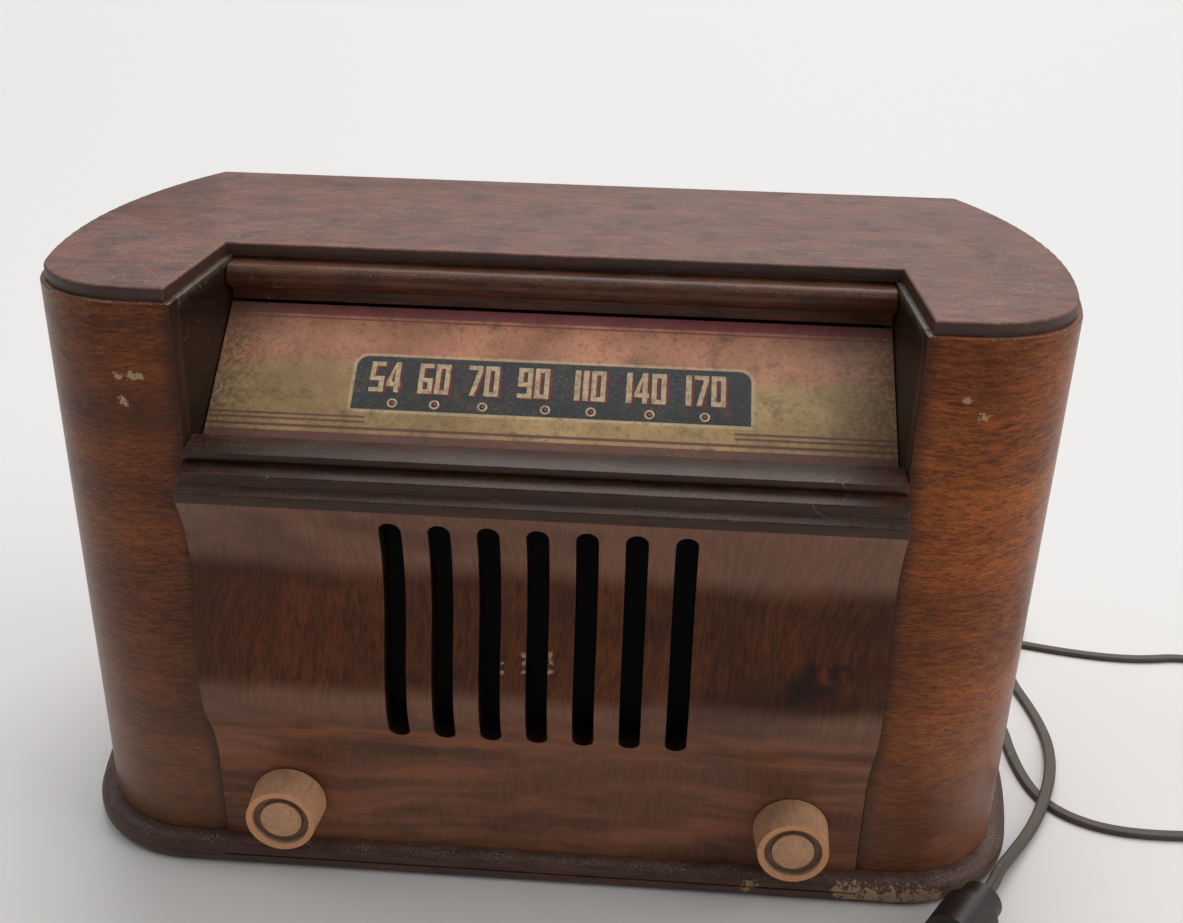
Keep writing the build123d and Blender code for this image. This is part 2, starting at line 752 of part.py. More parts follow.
# Chassis: a folded sheet pan, open below, bolted through lips on its two sides.
gang_front = CHASSIS_DEPTH + DRUM_BEHIND_APRON + DRUM_W + DRUM_HUB_L + GANG_BEHIND_HUB
drum_depth = CHASSIS_DEPTH + DRUM_BEHIND_APRON
drum_z = chassis_top + DRUM_CLEAR + DRUM_R
with BuildPart() as chassis:
    with Locations((0, chassis_front, BASE_T)):
        Box(2 * CHASSIS_HALF, CHASSIS_D, CHASSIS_H, align=(Align.CENTER, Align.MIN, Align.MIN))
    with Locations((0, chassis_front + SHEET_T, BASE_T)):
        Box(
            2 * (CHASSIS_HALF - SHEET_T),
            CHASSIS_D - 2 * SHEET_T,
            CHASSIS_H - SHEET_T,
            align=(Align.CENTER, Align.MIN, Align.MIN),
            mode=Mode.SUBTRACT,
        )
    with Locations((0, bolt_y, BASE_T)):
        with GridLocations(2 * bolt_x, 1, 2, 1):
            Box(LIP_W, CHASSIS_D - 2 * SHEET_T, SHEET_T, align=(Align.CENTER, Align.CENTER, Align.MIN))
        with GridLocations(2 * bolt_x, bolt_span, 2, 2):
            Cylinder(BOLT_D / 2 + HOLE_GAP, 4 * SHEET_T, mode=Mode.SUBTRACT)
    with Locations(
        Location((-shaft_x, chassis_front, SHAFT_Z), (90, 0, 0)),
        Location((shaft_x, chassis_front, SHAFT_Z), (90, 0, 0)),
    ):
        Cylinder(BUSH_D / 2 + HOLE_GAP, 4 * SHEET_T, mode=Mode.SUBTRACT)
    with Locations(*[(x, front + TUBE_DEPTH, chassis_top) for x in tube_x]):
        Cylinder(SOCKET_D / 2 + HOLE_GAP, 4 * SHEET_T, mode=Mode.SUBTRACT)
    with Locations((shaft_x, front + drum_depth + DRUM_W / 2, chassis_top)):
        Box(3 * JOURNAL_D, DRUM_W, 4 * SHEET_T, mode=Mode.SUBTRACT)
save(chassis, "chassis")

# Chassis bolts: heads sunk in the base board, nuts on the lips.
with BuildPart() as chassis_bolts:
    with Locations((0, bolt_y, BOLT_SINK)):
        with GridLocations(2 * bolt_x, bolt_span, 2, 2):
            Cylinder(BOLT_HEAD_D / 2, BOLT_HEAD_H, align=(Align.CENTER, Align.CENTER, Align.MAX))
            Cylinder(BOLT_D / 2, BOLT_L, align=(Align.CENTER, Align.CENTER, Align.MIN))
    with BuildSketch(Plane.XY.offset(BASE_T + SHEET_T)):
        with Locations((0, bolt_y)):
            with GridLocations(2 * bolt_x, bolt_span, 2, 2):
                RegularPolygon(BOLT_D, 6)
    extrude(amount=NUT_T)
save(chassis_bolts, "chassis_bolts")

# Output transformer: a laminated core with its winding showing front and back.
with BuildPart() as output_transformer:
    with Locations((transformer_x, front + TRANSFORMER_DEPTH, chassis_top)):
        Box(CORE_W, CORE_T, CORE_H, align=(Align.CENTER, Align.CENTER, Align.MIN))
    with Locations((transformer_x, front + TRANSFORMER_DEPTH, chassis_top + CORE_H / 2)):
        Box(CORE_W / 2, 2 * CORE_T, CORE_H / 2)
save(output_transformer, "output_transformer")

# Valves: sockets through the chassis, moulded bases on them, glass bulbs on the bases.
tube_places = [(x, front + TUBE_DEPTH) for x in tube_x]
with BuildPart() as tube_sockets:
    with BuildSketch(Plane.XY.offset(chassis_top)):
        with Locations(*tube_places):
            Circle(SOCKET_FLANGE_D / 2)
    extrude(amount=SOCKET_T)
    with BuildSketch(Plane.XY.offset(chassis_top)):
        with Locations(*tube_places):
            Circle(SOCKET_D / 2)
    extrude(amount=-SOCKET_L)
save(tube_sockets, "tube_sockets")
tube_seat = chassis_top + SOCKET_T
with BuildPart() as tube_bases:
    with BuildSketch(Plane.XY.offset(tube_seat)):
        with Locations(*tube_places):
            Circle(TUBE_BASE_D / 2)
    extrude(amount=TUBE_BASE_H)
save(tube_bases, "tube_bases")
with BuildPart() as tube_glass:
    with BuildSketch(Plane.XY.offset(tube_seat + TUBE_BASE_H)):
        with Locations(*tube_places):
            Circle(TUBE_D / 2)
    extrude(amount=TUBE_H)
    fillet(tube_glass.edges().group_by(Axis.Z)[-1], TUBE_D * 0.4)
save(tube_glass, "tube_glass")

# Intermediate-frequency cans and the filter capacitor.
with BuildPart() as if_cans:
    with BuildSketch(Plane.XY.offset(chassis_top)):
        with Locations(*[(x, front + CAN_DEPTH) for x in CAN_X]):
            RectangleRounded(CAN_W, CAN_W, CAN_W / 10)
    extrude(amount=CAN_H)
save(if_cans, "if_cans")
with BuildPart() as filter_capacitor:
    with Locations((filter_x, front + CAN_DEPTH, chassis_top)):
        Cylinder(FILTER_D / 2, FILTER_H, align=(Align.CENTER, Align.CENTER, Align.MIN))
    fillet(filter_capacitor.edges().group_by(Axis.Z)[-1], FILTER_D / 10)
save(filter_capacitor, "filter_capacitor")

# Tuning capacitor: a frame with fixed vanes below the spindle, half-round moving vanes between them.
gang_l = (GANG_PLATES + 1) * GANG_PITCH + 2 * GANG_PLATE_T
gang_y = front + gang_front
first_vane = gang_y + GANG_PLATE_T + GANG_PITCH
stator_top = drum_z - BUSH_D / 2
stator_bottom = drum_z - GANG_VANE_R - GANG_SIDE_GAP
gang_top = drum_z + BUSH_D
with BuildPart() as tuning_capacitor:
    with Locations((drum_x, gang_y, chassis_top)):
        Box(2 * GANG_HALF, gang_l, GANG_PLATE_T, align=(Align.CENTER, Align.MIN, Align.MIN))
    for plate_y in (gang_y, gang_y + gang_l - GANG_PLATE_T):
        with Locations((drum_x, plate_y, chassis_top)):
            Box(
                2 * GANG_HALF,
                GANG_PLATE_T,
                gang_top - chassis_top,
                align=(Align.CENTER, Align.MIN, Align.MIN),
            )
    for bar_side in (-1, 1):
        with Locations((drum_x + bar_side * (GANG_HALF - GANG_PLATE_T / 2), gang_y, stator_bottom)):
            Box(
                GANG_PLATE_T,
                gang_l,
                stator_top - stator_bottom,
                align=(Align.CENTER, Align.MIN, Align.MIN),
            )
    with Locations(
        *[(drum_x, first_vane + (n + 0.5) * GANG_PITCH, stator_bottom) for n in range(GANG_PLATES - 1)]
    ):
        Box(
            2 * GANG_HALF - GANG_PLATE_T,
            GANG_VANE_T,
            stator_top - stator_bottom,
            align=(Align.CENTER, Align.CENTER, Align.MIN),
        )
    with Locations(Location((drum_x, gang_y + gang_l / 2, drum_z), (90, 0, 0))):
        Cylinder(SHAFT_D / 2 + RUNNING_GAP, 2 * gang_l, mode=Mode.SUBTRACT)
save(tuning_capacitor, "tuning_capacitor")

with BuildPart() as capacitor_rotor:
    with Locations(Location((drum_x, front + drum_depth - DRUM_W / 3, drum_z), (-90, 0, 0))):
        Cylinder(
            SHAFT_D / 2,
            gang_front + gang_l - drum_depth + DRUM_W,
            align=(Align.CENTER, Align.CENTER, Align.MIN),
        )
    for n in range(GANG_PLATES):
        with BuildSketch(Plane.XZ.offset(-first_vane - n * GANG_PITCH)):
            with BuildLine():
                Line((drum_x, drum_z - GANG_VANE_R), (drum_x, drum_z + GANG_VANE_R))
                CenterArc((drum_x, drum_z), GANG_VANE_R, 90, 180)
            make_face()
        extrude(amount=GANG_VANE_T / 2, both=True)
save(capacitor_rotor, "capacitor_rotor")

# Dial drum: a grooved pulley on the capacitor's spindle, with a hub behind and round windows.
drum_y = front + drum_depth
bore_r = SHAFT_D / 2 + RUNNING_GAP
with BuildPart() as dial_drum:
    add(
        turned(
            (
                (bore_r, 0),
                (DRUM_R, 0),
                (DRUM_R, DRUM_W / 4),
                (DRUM_R - DRUM_GROOVE, DRUM_W / 2),
                (DRUM_R, DRUM_W * 3 / 4),
                (DRUM_R, DRUM_W),
                (DRUM_HUB_D / 2, DRUM_W),
                (DRUM_HUB_D / 2, DRUM_W + DRUM_HUB_L),
                (bore_r, DRUM_W + DRUM_HUB_L),
            ),
            drum_x,
            drum_y,
            drum_z,
        )
    )
    with BuildSketch(Plane.XZ.offset(-drum_y)):
        with Locations((drum_x, drum_z)):
            with PolarLocations((DRUM_R + DRUM_HUB_D / 2) / 2, 5, start_angle=90):
                Circle(DRUM_WINDOW_D / 2)
    extrude(amount=-DRUM_W, mode=Mode.SUBTRACT)
save(dial_drum, "dial_drum")

# Knobs and their shafts.
knob_back = panel_face - KNOB_GAP
shaft_tip = knob_back - KNOB_BORE_L
bush_front = chassis_front - BUSH_OUT


def knob(x):
    """A tapered knob: hollow back, rounded rim, ring groove and domed middle. Points run from the back."""
    dome_edge = -KNOB_L + KNOB_DOME
    dome_r = (KNOB_DISC_R**2 + KNOB_DOME**2) / (2 * KNOB_DOME)
    dome_fall = dome_r - sqrt(dome_r**2 - KNOB_DISC_R**2 / 4)
    with BuildPart() as body:
        with BuildSketch(Plane(origin=(x, knob_back, SHAFT_Z), x_dir=(1, 0, 0), z_dir=(0, 0, 1))) as section:
            with BuildLine():
                Polyline(
                    (0, -KNOB_L),
                    (0, -KNOB_BORE_L),
                    (bore_r, -KNOB_BORE_L),
                    (bore_r, -KNOB_HOLLOW),
                    (KNOB_HOLLOW_R, -KNOB_HOLLOW),
                    (KNOB_HOLLOW_R, 0),
                    (KNOB_R, 0),
                    (KNOB_FACE_R, -KNOB_L),
                    (KNOB_GROOVE_R, -KNOB_L),
                    (KNOB_GROOVE_R - KNOB_GROOVE_DEPTH / 3, -KNOB_L + KNOB_GROOVE_DEPTH),
                    (KNOB_DISC_R + KNOB_GROOVE_DEPTH / 4, -KNOB_L + KNOB_GROOVE_DEPTH),
                    (KNOB_DISC_R, dome_edge),
                )
                ThreePointArc(
                    (KNOB_DISC_R, dome_edge),
                    (KNOB_DISC_R / 2, -KNOB_L + dome_fall),
                    (0, -KNOB_L),
                )
            make_face()
            rim = [v for v in section.vertices() if hypot(v.X - x - KNOB_FACE_R, v.Y - knob_back + KNOB_L) < 0.01]
            fillet(rim, KNOB_EDGE_R)
        revolve(axis=Axis((x, knob_back, SHAFT_Z), (0, 1, 0)))
    return body.part


with BuildPart() as tuning_knob:
    add(knob(shaft_x))
save(tuning_knob, "tuning_knob")
with BuildPart() as volume_knob:
    add(knob(-shaft_x))
save(volume_knob, "volume_knob")

bush_back = chassis_front + SHEET_T + NUT_T
shaft_r = SHAFT_D / 2
journal_from = drum_y - shaft_tip
tuning_end = chassis_front + SHAFT_TAIL - shaft_tip
clip_from = bush_back + 2 * JOINERY_GAP - shaft_tip
with BuildPart() as tuning_shaft:
    add(
        turned(
            (
                (0, 0),
                (shaft_r, 0),
                (shaft_r, clip_from),
                (BUSH_D / 2, clip_from),
                (BUSH_D / 2, clip_from + CLIP_T),
                (shaft_r, clip_from + CLIP_T),
                (shaft_r, journal_from),
                (JOURNAL_D / 2, journal_from),
                (JOURNAL_D / 2, journal_from + DRUM_W),
                (shaft_r, journal_from + DRUM_W),
                (shaft_r, tuning_end),
                (0, tuning_end),
            ),
            shaft_x,
            shaft_tip,
            SHAFT_Z,
        )
    )
save(tuning_shaft, "tuning_shaft")

with BuildPart() as tuning_shaft_bush:
    add(
        turned(
            (
                (bore_r, 0),
                (BUSH_D / 2, 0),
                (BUSH_D / 2, BUSH_OUT - NUT_T),
                (BUSH_NUT / 2, BUSH_OUT - NUT_T),
                (BUSH_NUT / 2, BUSH_OUT),
                (BUSH_D / 2, BUSH_OUT),
                (BUSH_D / 2, bush_back - bush_front),
                (bore_r, bush_back - bush_front),
            ),
            shaft_x,
            bush_front,
            SHAFT_Z,
        )
    )
save(tuning_shaft_bush, "tuning_shaft_bush")

pot_front = BUSH_OUT + SHEET_T
with BuildPart() as volume_control:
    add(
        turned(
            (
                (bore_r, 0),
                (BUSH_D / 2, 0),
                (BUSH_D / 2, BUSH_OUT - NUT_T),
                (BUSH_NUT / 2, BUSH_OUT - NUT_T),
                (BUSH_NUT / 2, BUSH_OUT),
                (BUSH_D / 2, BUSH_OUT),
                (BUSH_D / 2, pot_front),
                (POT_D / 2, pot_front),
                (POT_D / 2, pot_front + POT_L),
                (SWITCH_D / 2, pot_front + POT_L),
                (SWITCH_D / 2, pot_front + POT_L + SWITCH_L),
                (0, pot_front + POT_L + SWITCH_L),
                (0, pot_front + POT_BORE_L),
                (bore_r, pot_front + POT_BORE_L),
            ),
            -shaft_x,
            bush_front,
            SHAFT_Z,
        )
    )
save(volume_control, "volume_control")

volume_end = bush_front + pot_front + POT_BORE_L - 2 * JOINERY_GAP - shaft_tip
with BuildPart() as volume_shaft:
    add(
        turned(
            ((0, 0), (shaft_r, 0), (shaft_r, volume_end), (0, volume_end)),
            -shaft_x,
            shaft_tip,
            SHAFT_Z,
        )
    )
save(volume_shaft, "volume_shaft")

# Rear battens, cover, screws and loop aerial.
cover_y = front + cover_front
cover_half = side_at(BODY_DEPTH - COVER_SINK, -WRAP_T) - COVER_GAP
cover_bottom = BASE_T + COVER_GAP
cover_top = wrap_top - COVER_GAP
screw_x = cover_half - SCREW_INSET
screw_z = [
    cover_bottom + SCREW_END + n * (cover_top - cover_bottom - 2 * SCREW_END) / (SCREW_ROWS - 1)
    for n in range(SCREW_ROWS)
]
screw_places = [(side * screw_x, z) for side in (-1, 1) for z in screw_z]
with BuildPart() as rear_battens:
    with BuildSketch(Plane.XY.offset(BASE_T)):
        with Locations((0, cover_y)):
            Rectangle(2 * BODY_HALF, BATTEN_D, align=(Align.CENTER, Align.MAX))
        with Locations((0, cover_y)):
            Rectangle(
                2 * (cover_half - BATTEN_W),
                BATTEN_D,
                align=(Align.CENTER, Align.MAX),
                mode=Mode.SUBTRACT,
            )
        add(cabinet_outline(-WRAP_T - JOINERY_GAP), mode=Mode.INTERSECT)
    extrude(amount=spigot_bottom - BASE_T - JOINERY_GAP)
    with BuildSketch(Plane.XZ.offset(-cover_y)):
        with Locations(*screw_places):
            Circle(SCREW_D / 2 + HOLE_GAP)
    extrude(amount=SCREW_L, mode=Mode.SUBTRACT)
save(rear_battens, "rear_battens")

loop_z = spigot_bottom - LOOP_HEAD_GAP - LOOP_HALF_H
vent_rows = [loop_z + (n - (VENT_UPPER_ROWS - 1) / 2) * VENT_PITCH for n in range(VENT_UPPER_ROWS)]
vent_rows += [VENT_LOWER_Z + n * VENT_PITCH for n in range(VENT_LOWER_ROWS)]
with BuildPart() as rear_cover:
    with BuildSketch(Plane.XZ.offset(-cover_y)):
        with Locations((0, cover_bottom)):
            Rectangle(2 * cover_half, cover_top - cover_bottom, align=(Align.CENTER, Align.MIN))
        with Locations(*screw_places):
            Circle(SCREW_D / 2 + HOLE_GAP, mode=Mode.SUBTRACT)
        for row_z in vent_rows:
            with Locations((0, row_z)):
                with GridLocations(VENT_PITCH, 1, VENT_COLUMNS, 1):
                    Circle(VENT_D / 2, mode=Mode.SUBTRACT)
        with Locations((EXIT_X, EXIT_Z)):
            Circle(GROMMET_D / 2 + HOLE_GAP, mode=Mode.SUBTRACT)
    extrude(amount=-COVER_T)
save(rear_cover, "rear_cover")

cover_back = cover_y + COVER_T
with BuildPart() as rear_cover_screws:
    with BuildSketch(Plane.XZ.offset(-cover_back)):
        with Locations(*screw_places):
            Circle(SCREW_HEAD_D / 2)
    extrude(amount=-SCREW_HEAD_H)
    fillet(rear_cover_screws.edges().group_by(Axis.Y)[-1], SCREW_HEAD_H * 0.8)
    with BuildSketch(Plane.XZ.offset(-cover_back)):
        with Locations(*screw_places):
            Circle(SCREW_D / 2)
    extrude(amount=SCREW_L)
save(rear_cover_screws, "rear_cover_screws")

with BuildPart() as loop_aerial:
    with BuildSketch(Plane.XZ.offset(-cover_y)):
        with Locations((0, loop_z)):
            RectangleRounded(2 * LOOP_HALF, 2 * LOOP_HALF_H, LOOP_CORNER)
            RectangleRounded(
                2 * (LOOP_HALF - LOOP_BAND),
                2 * (LOOP_HALF_H - LOOP_BAND),
                LOOP_CORNER / 2,
                mode=Mode.SUBTRACT,
            )
    extrude(amount=LOOP_T)
save(loop_aerial, "loop_aerial")

# Lead grommet: a flanged sleeve in the cover that tapers to the lead's own size.
lead_start = cover_back + GROMMET_L
with BuildPart() as cord_grommet:
    add(
        turned(
            (
                (0, -COVER_T),
                (GROMMET_D / 2, -COVER_T),
                (GROMMET_D / 2, 0),
                (GROMMET_FLANGE_D / 2, 0),
                (GROMMET_FLANGE_D / 2, GROMMET_FLANGE_T),
                (GROMMET_SLEEVE_D / 2, GROMMET_FLANGE_T),
                (GROMMET_TIP_D / 2, GROMMET_L),
                (0, GROMMET_L),
            ),
            EXIT_X,
            cover_back,
            EXIT_Z,
        )
    )
save(cord_grommet, "cord_grommet")


# Lead: straight runs joined by tangent arcs, with one tied coil in it.
def on_floor(point):
    """A floor point of the lead in the shared frame."""
    out, share, lift = point
    return Vector(BODY_HALF + out, front + share * BODY_DEPTH, CORD_D / 2 + lift)


def bend_radii(points):
    """Arc radii that use most of the shorter run beside each corner."""
    radii = []
    for before, corner, after in zip(points, points[1:], points[2:]):
        half_turn = radians((corner - before).get_angle(after - corner)) / 2
        run = min((corner - before).length, (after - corner).length)
        radii.append(0.45 * run / tan(half_turn))
    return radii


def lead(points, name):
    """A round lead along the points, with its bend radii printed."""
    radii = bend_radii(points)
    with BuildPart() as tube:
        with BuildLine() as route:
            FilletPolyline(*points, radius=radii)
        with BuildSketch(Plane(origin=route.wire() @ 0, z_dir=route.wire() % 0)):
            Circle(CORD_D / 2)
        sweep(path=route.wire())
    tube.part.label = name
    export_step(tube.part, f"parts/{name}.step")
    print(name, "length", round(route.wire().length, 1), "least bend radius", round(min(radii), 1))
    print(name, "bend radii", [round(r) for r in radii])
    shortfall = 1 - tube.part.volume / (pi * CORD_D**2 / 4 * route.wire().length)
    print(name, "volume short of section by length", round(shortfall, 4))


coil_x = BODY_HALF + COIL_OUT
coil_y = front + COIL_BACK * BODY_DEPTH
coil_z = TIE_T + TIE_GAP + CORD_D / 2
coil_sweep = 360 * COIL_TURNS + COIL_EXIT - COIL_ENTRY
coil_least_r = COIL_MID_R - COIL_PITCH * coil_sweep / 1440
coil_most_r = COIL_MID_R + COIL_PITCH * coil_sweep / 1440


def coil_point(turned_by):
    """Middle of the lead after turning by an angle: in on the lower layer, up a layer, out on the upper."""
    from_middle = turned_by - coil_sweep / 2
    radius = coil_least_r + COIL_PITCH * abs(from_middle) / 360
    if abs(from_middle) < 90:
        radius = coil_least_r + COIL_PITCH * (from_middle**2 / 180 + 45) / 360
    climb = min(max(from_middle / 180 + 0.5, 0), 1)
    climb = climb * climb * (3 - 2 * climb)
    angle = radians(COIL_ENTRY + turned_by)
    return Vector(coil_x + radius * cos(angle), coil_y + radius * sin(angle), coil_z + COIL_LAYER * climb)


def coil_heading(turned_by):
    return (coil_point(turned_by + 0.05) - coil_point(turned_by - 0.05)).normalized()


coil_steps = 4 * COIL_TURNS + 2
coil_turns = [coil_sweep * n / coil_steps for n in range(coil_steps + 1)]
coil_start = coil_point(0) - coil_heading(0.1) * CORD_D
coil_end = coil_point(coil_sweep) + coil_heading(coil_sweep - 0.1) * CORD_D
with BuildPart() as power_cord_coil:
    with BuildLine() as coil_route:
        Line(coil_start, coil_point(0))
        for here, there in zip(coil_turns, coil_turns[1:]):
            p0 = coil_point(here)
            p1 = coil_point(there)
            t0 = coil_heading(max(here, 0.1))
            t1 = coil_heading(min(there, coil_sweep - 0.1))
            span = p1 - p0
            spread = 2 * (1 - t0.dot(t1))
            along = span.dot(t0 + t1)
            reach = (sqrt(along**2 + spread * span.dot(span)) - along) / spread
            middle = (p0 + t0 * reach + p1 - t1 * reach) * 0.5
            through = (p1 - t1 * reach - p0 - t0 * reach).normalized()
            TangentArc(p0, middle, tangent=t0)
            TangentArc(middle, p1, tangent=through)
        Line(coil_point(coil_sweep), coil_end)
    with BuildSketch(Plane(origin=coil_start, z_dir=coil_heading(0.1))):
        Circle(CORD_D / 2)
    sweep(path=coil_route.wire())
save(power_cord_coil, "power_cord_coil")
coil_samples = [coil_point(coil_sweep * n / 600) for n in range(601)]
nearest = min(
    (a - b).length
    for i, a in enumerate(coil_samples)
    for b in coil_samples[i + 600 // (2 * COIL_TURNS) :]
)
print("power_cord_coil length", round(coil_route.wire().length, 1))
print("power_cord_coil least bend radius", round(coil_least_r, 1))
print("power_cord_coil least self gap", round(nearest - CORD_D, 2))
coil_shortfall = 1 - power_cord_coil.part.volume / (pi * CORD_D**2 / 4 * coil_route.wire().length)
print("power_cord_coil volume short of section by length", round(coil_shortfall, 4))

coil_lead_in = coil_start - coil_heading(0.1) * 18
drop = [
    Vector(EXIT_X, lead_start, EXIT_Z),
    Vector(EXIT_X, lead_start + 2.5 * CORD_D, EXIT_Z),
    Vector(EXIT_X + 2, lead_start + 5.2 * CORD_D, EXIT_Z * 0.79),
    Vector(EXIT_X + 10, lead_start + 7.3 * CORD_D, EXIT_Z * 0.46),
    Vector(EXIT_X + 23, lead_start + 8.4 * CORD_D, EXIT_Z * 0.2),
]
lead(drop + [on_floor(p) for p in LEAD_OUT] + [coil_lead_in, coil_start], "power_cord")

plug_heading = Vector(cos(radians(PLUG_HEADING)), sin(radians(PLUG_HEADING)), 0)
plug_start = Vector(BODY_HALF + PLUG_OUT, front + PLUG_BACK * BODY_DEPTH, PLUG_D / 2 + PLUG_LIFT)
coil_lead_out = coil_end + coil_heading(coil_sweep - 0.1) * 17
lead(
    [coil_end, coil_lead_out]
    + [on_floor(p) for p in LEAD_BACK]
    + [plug_start - plug_heading * 2.4 * CORD_D, plug_start],
    "power_cord_tail",
)

# Tie: a flat band round the coil.
tie_w = coil_most_r - coil_least_r + CORD_D + 2 * TIE_GAP
tie_h = COIL_LAYER + CORD_D + 2 * TIE_GAP
tie_angle = radians(TIE_ANGLE)
tie_r = (coil_most_r + coil_least_r) / 2
tie_plane = Plane(
    origin=(coil_x + tie_r * cos(tie_angle), coil_y + tie_r * sin(tie_angle), TIE_T + tie_h / 2),
    x_dir=(cos(tie_angle), sin(tie_angle), 0),
    z_dir=(sin(tie_angle), -cos(tie_angle), 0),
)
with BuildPart() as cord_tie:
    with BuildSketch(tie_plane):
        RectangleRounded(tie_w + 2 * TIE_T, tie_h + 2 * TIE_T, CORD_D / 3 + TIE_T)
        RectangleRounded(tie_w, tie_h, CORD_D / 3, mode=Mode.SUBTRACT)
    extrude(amount=TIE_W / 2, both=True)
save(cord_tie, "cord_tie")

# Plug: a round collar, a waist and a round body, moulded in one, and two flat blades.
plug_plane = Plane(origin=plug_start, x_dir=(0, 0, 1), z_dir=Vector(0, 0, 1).cross(plug_heading))
waist_end = COLLAR_L + (PLUG_D - WAIST_D) / 6
plug_end = waist_end + PLUG_L
with BuildPart() as plug_body:
    with BuildSketch(plug_plane) as plug_profile:
        with BuildLine():
            Polyline(
                (0, 0),
                (COLLAR_D / 2, 0),
                (COLLAR_D / 2, COLLAR_L),
                (WAIST_D / 2, COLLAR_L),
                (WAIST_D / 2, waist_end),
                (PLUG_D / 2, waist_end),
                (PLUG_D / 2, plug_end),
                (0, plug_end),
                close=True,
            )
        make_face()
        local = [(v, plug_plane.to_local_coords(Vector(v.X, v.Y, v.Z))) for v in plug_profile.vertices()]
        fillet([v for v, at in local if abs(at.X - PLUG_D / 2) < 0.01], PLUG_ROUND)
        fillet([v for v, at in local if abs(at.X - COLLAR_D / 2) < 0.01], (COLLAR_D - WAIST_D) * 0.45)
    revolve(axis=Axis(plug_start, plug_heading))
save(plug_body, "plug_body")

blade_plane = Plane(
    origin=plug_start + plug_heading * plug_end,
    x_dir=plug_heading.cross(Vector(0, 0, 1)),
    z_dir=plug_heading,
)
with BuildPart() as plug_pins:
    with BuildSketch(blade_plane):
        with Locations((-BLADE_SPACING / 2, 0), (BLADE_SPACING / 2, 0)):
            Rectangle(BLADE_T, BLADE_W)
    extrude(amount=BLADE_L)
    blade_tips = plug_pins.faces().sort_by(Axis(plug_start, plug_heading))[-2:]
    chamfer(
        [e for face in blade_tips for e in face.edges() if e.length > 2 * BLADE_T],
        BLADE_T / 3,
    )
save(plug_pins, "plug_pins")
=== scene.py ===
"""A worn wooden table radio: bent side wraps, sloped printed dial, slotted S-curved front and a flat lead."""
import json
import math

import bmesh
import bpy
from mathutils import Matrix, Vector
from mathutils.bvhtree import BVHTree

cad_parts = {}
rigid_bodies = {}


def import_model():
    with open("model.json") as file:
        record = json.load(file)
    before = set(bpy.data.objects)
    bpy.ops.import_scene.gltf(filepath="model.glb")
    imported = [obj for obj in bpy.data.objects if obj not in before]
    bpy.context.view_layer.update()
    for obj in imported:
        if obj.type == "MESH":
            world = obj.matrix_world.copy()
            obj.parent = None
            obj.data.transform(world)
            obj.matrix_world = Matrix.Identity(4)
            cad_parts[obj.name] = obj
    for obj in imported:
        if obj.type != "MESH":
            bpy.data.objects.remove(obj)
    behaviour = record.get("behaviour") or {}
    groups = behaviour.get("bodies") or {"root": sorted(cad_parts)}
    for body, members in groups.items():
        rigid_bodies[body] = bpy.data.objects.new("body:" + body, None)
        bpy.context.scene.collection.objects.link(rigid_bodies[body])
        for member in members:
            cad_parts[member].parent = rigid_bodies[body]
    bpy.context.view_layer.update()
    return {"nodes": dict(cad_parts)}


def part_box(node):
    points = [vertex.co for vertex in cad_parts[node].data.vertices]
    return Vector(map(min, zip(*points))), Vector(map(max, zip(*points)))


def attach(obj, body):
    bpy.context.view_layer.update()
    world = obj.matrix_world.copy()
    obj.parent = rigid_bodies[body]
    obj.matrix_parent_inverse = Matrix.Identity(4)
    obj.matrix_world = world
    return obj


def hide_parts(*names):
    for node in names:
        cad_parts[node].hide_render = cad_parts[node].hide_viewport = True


for old in list(bpy.data.objects):
    bpy.data.objects.remove(old, do_unlink=True)
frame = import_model()
nodes = frame["nodes"]

# Base board: a thick plinth of dark-stained hardwood with a rounded edge all round and a thin quirk in front.
# It is glued under the wraps. Its top edge holds grey dust, and its front corners are chipped to bare wood.
SHARP = math.radians(32)
WELD, EASED = 2e-6, 0.0005


def stand(name, data):
    """An object of its own in the scene."""
    piece = bpy.data.objects.new(name, data)
    bpy.context.scene.collection.objects.link(piece)
    return piece


def dressed(node, body, material, soften=0.0):
    """The piece itself as one welded skin in a material, its sharp edges eased by soften metres."""
    mesh = bpy.data.meshes.new(node + "_skin")
    skin = bmesh.new()
    skin.from_mesh(nodes[node].data)
    bmesh.ops.remove_doubles(skin, verts=skin.verts, dist=WELD)
    bmesh.ops.dissolve_limit(skin, angle_limit=math.radians(0.3), verts=skin.verts, edges=skin.edges)
    if soften:
        corners = [e for e in skin.edges if len(e.link_faces) == 2 and e.calc_face_angle(0.0) > SHARP]
        bmesh.ops.bevel(
            skin, geom=corners, offset=soften, segments=3, profile=0.5, affect="EDGES", clamp_overlap=True
        )
    for face in skin.faces:
        face.smooth = True
    for edge in skin.edges:
        edge.smooth = len(edge.link_faces) == 2 and edge.calc_face_angle(0.0) < SHARP
    bmesh.ops.triangulate(skin, faces=[f for f in skin.faces if len(f.verts) > 4])
    skin.to_mesh(mesh)
    skin.free()
    mesh.materials.append(material)
    piece = stand("shown_" + node, mesh)
    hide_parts(node)
    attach(piece, body)
    return piece


def feed(tree, socket, value):
    """A socket linked to another, or set to a value."""
    if isinstance(value, bpy.types.NodeSocket):
        tree.links.new(value, socket)
    elif socket.type == "RGBA":
        socket.default_value = (*value[:3], 1.0)
    else:
        socket.default_value = value


def put(tree, kind, settings=None, *values, **sockets):
    """A node with its settings, its first sockets fed in order and others by name."""
    node = tree.nodes.new(kind)
    for name, value in (settings or {}).items():
        setattr(node, name, value)
    for socket, value in zip(node.inputs, values):
        feed(tree, socket, value)
    for name, value in sockets.items():
        feed(tree, node.inputs[name.replace("_", " ")], value)
    return node


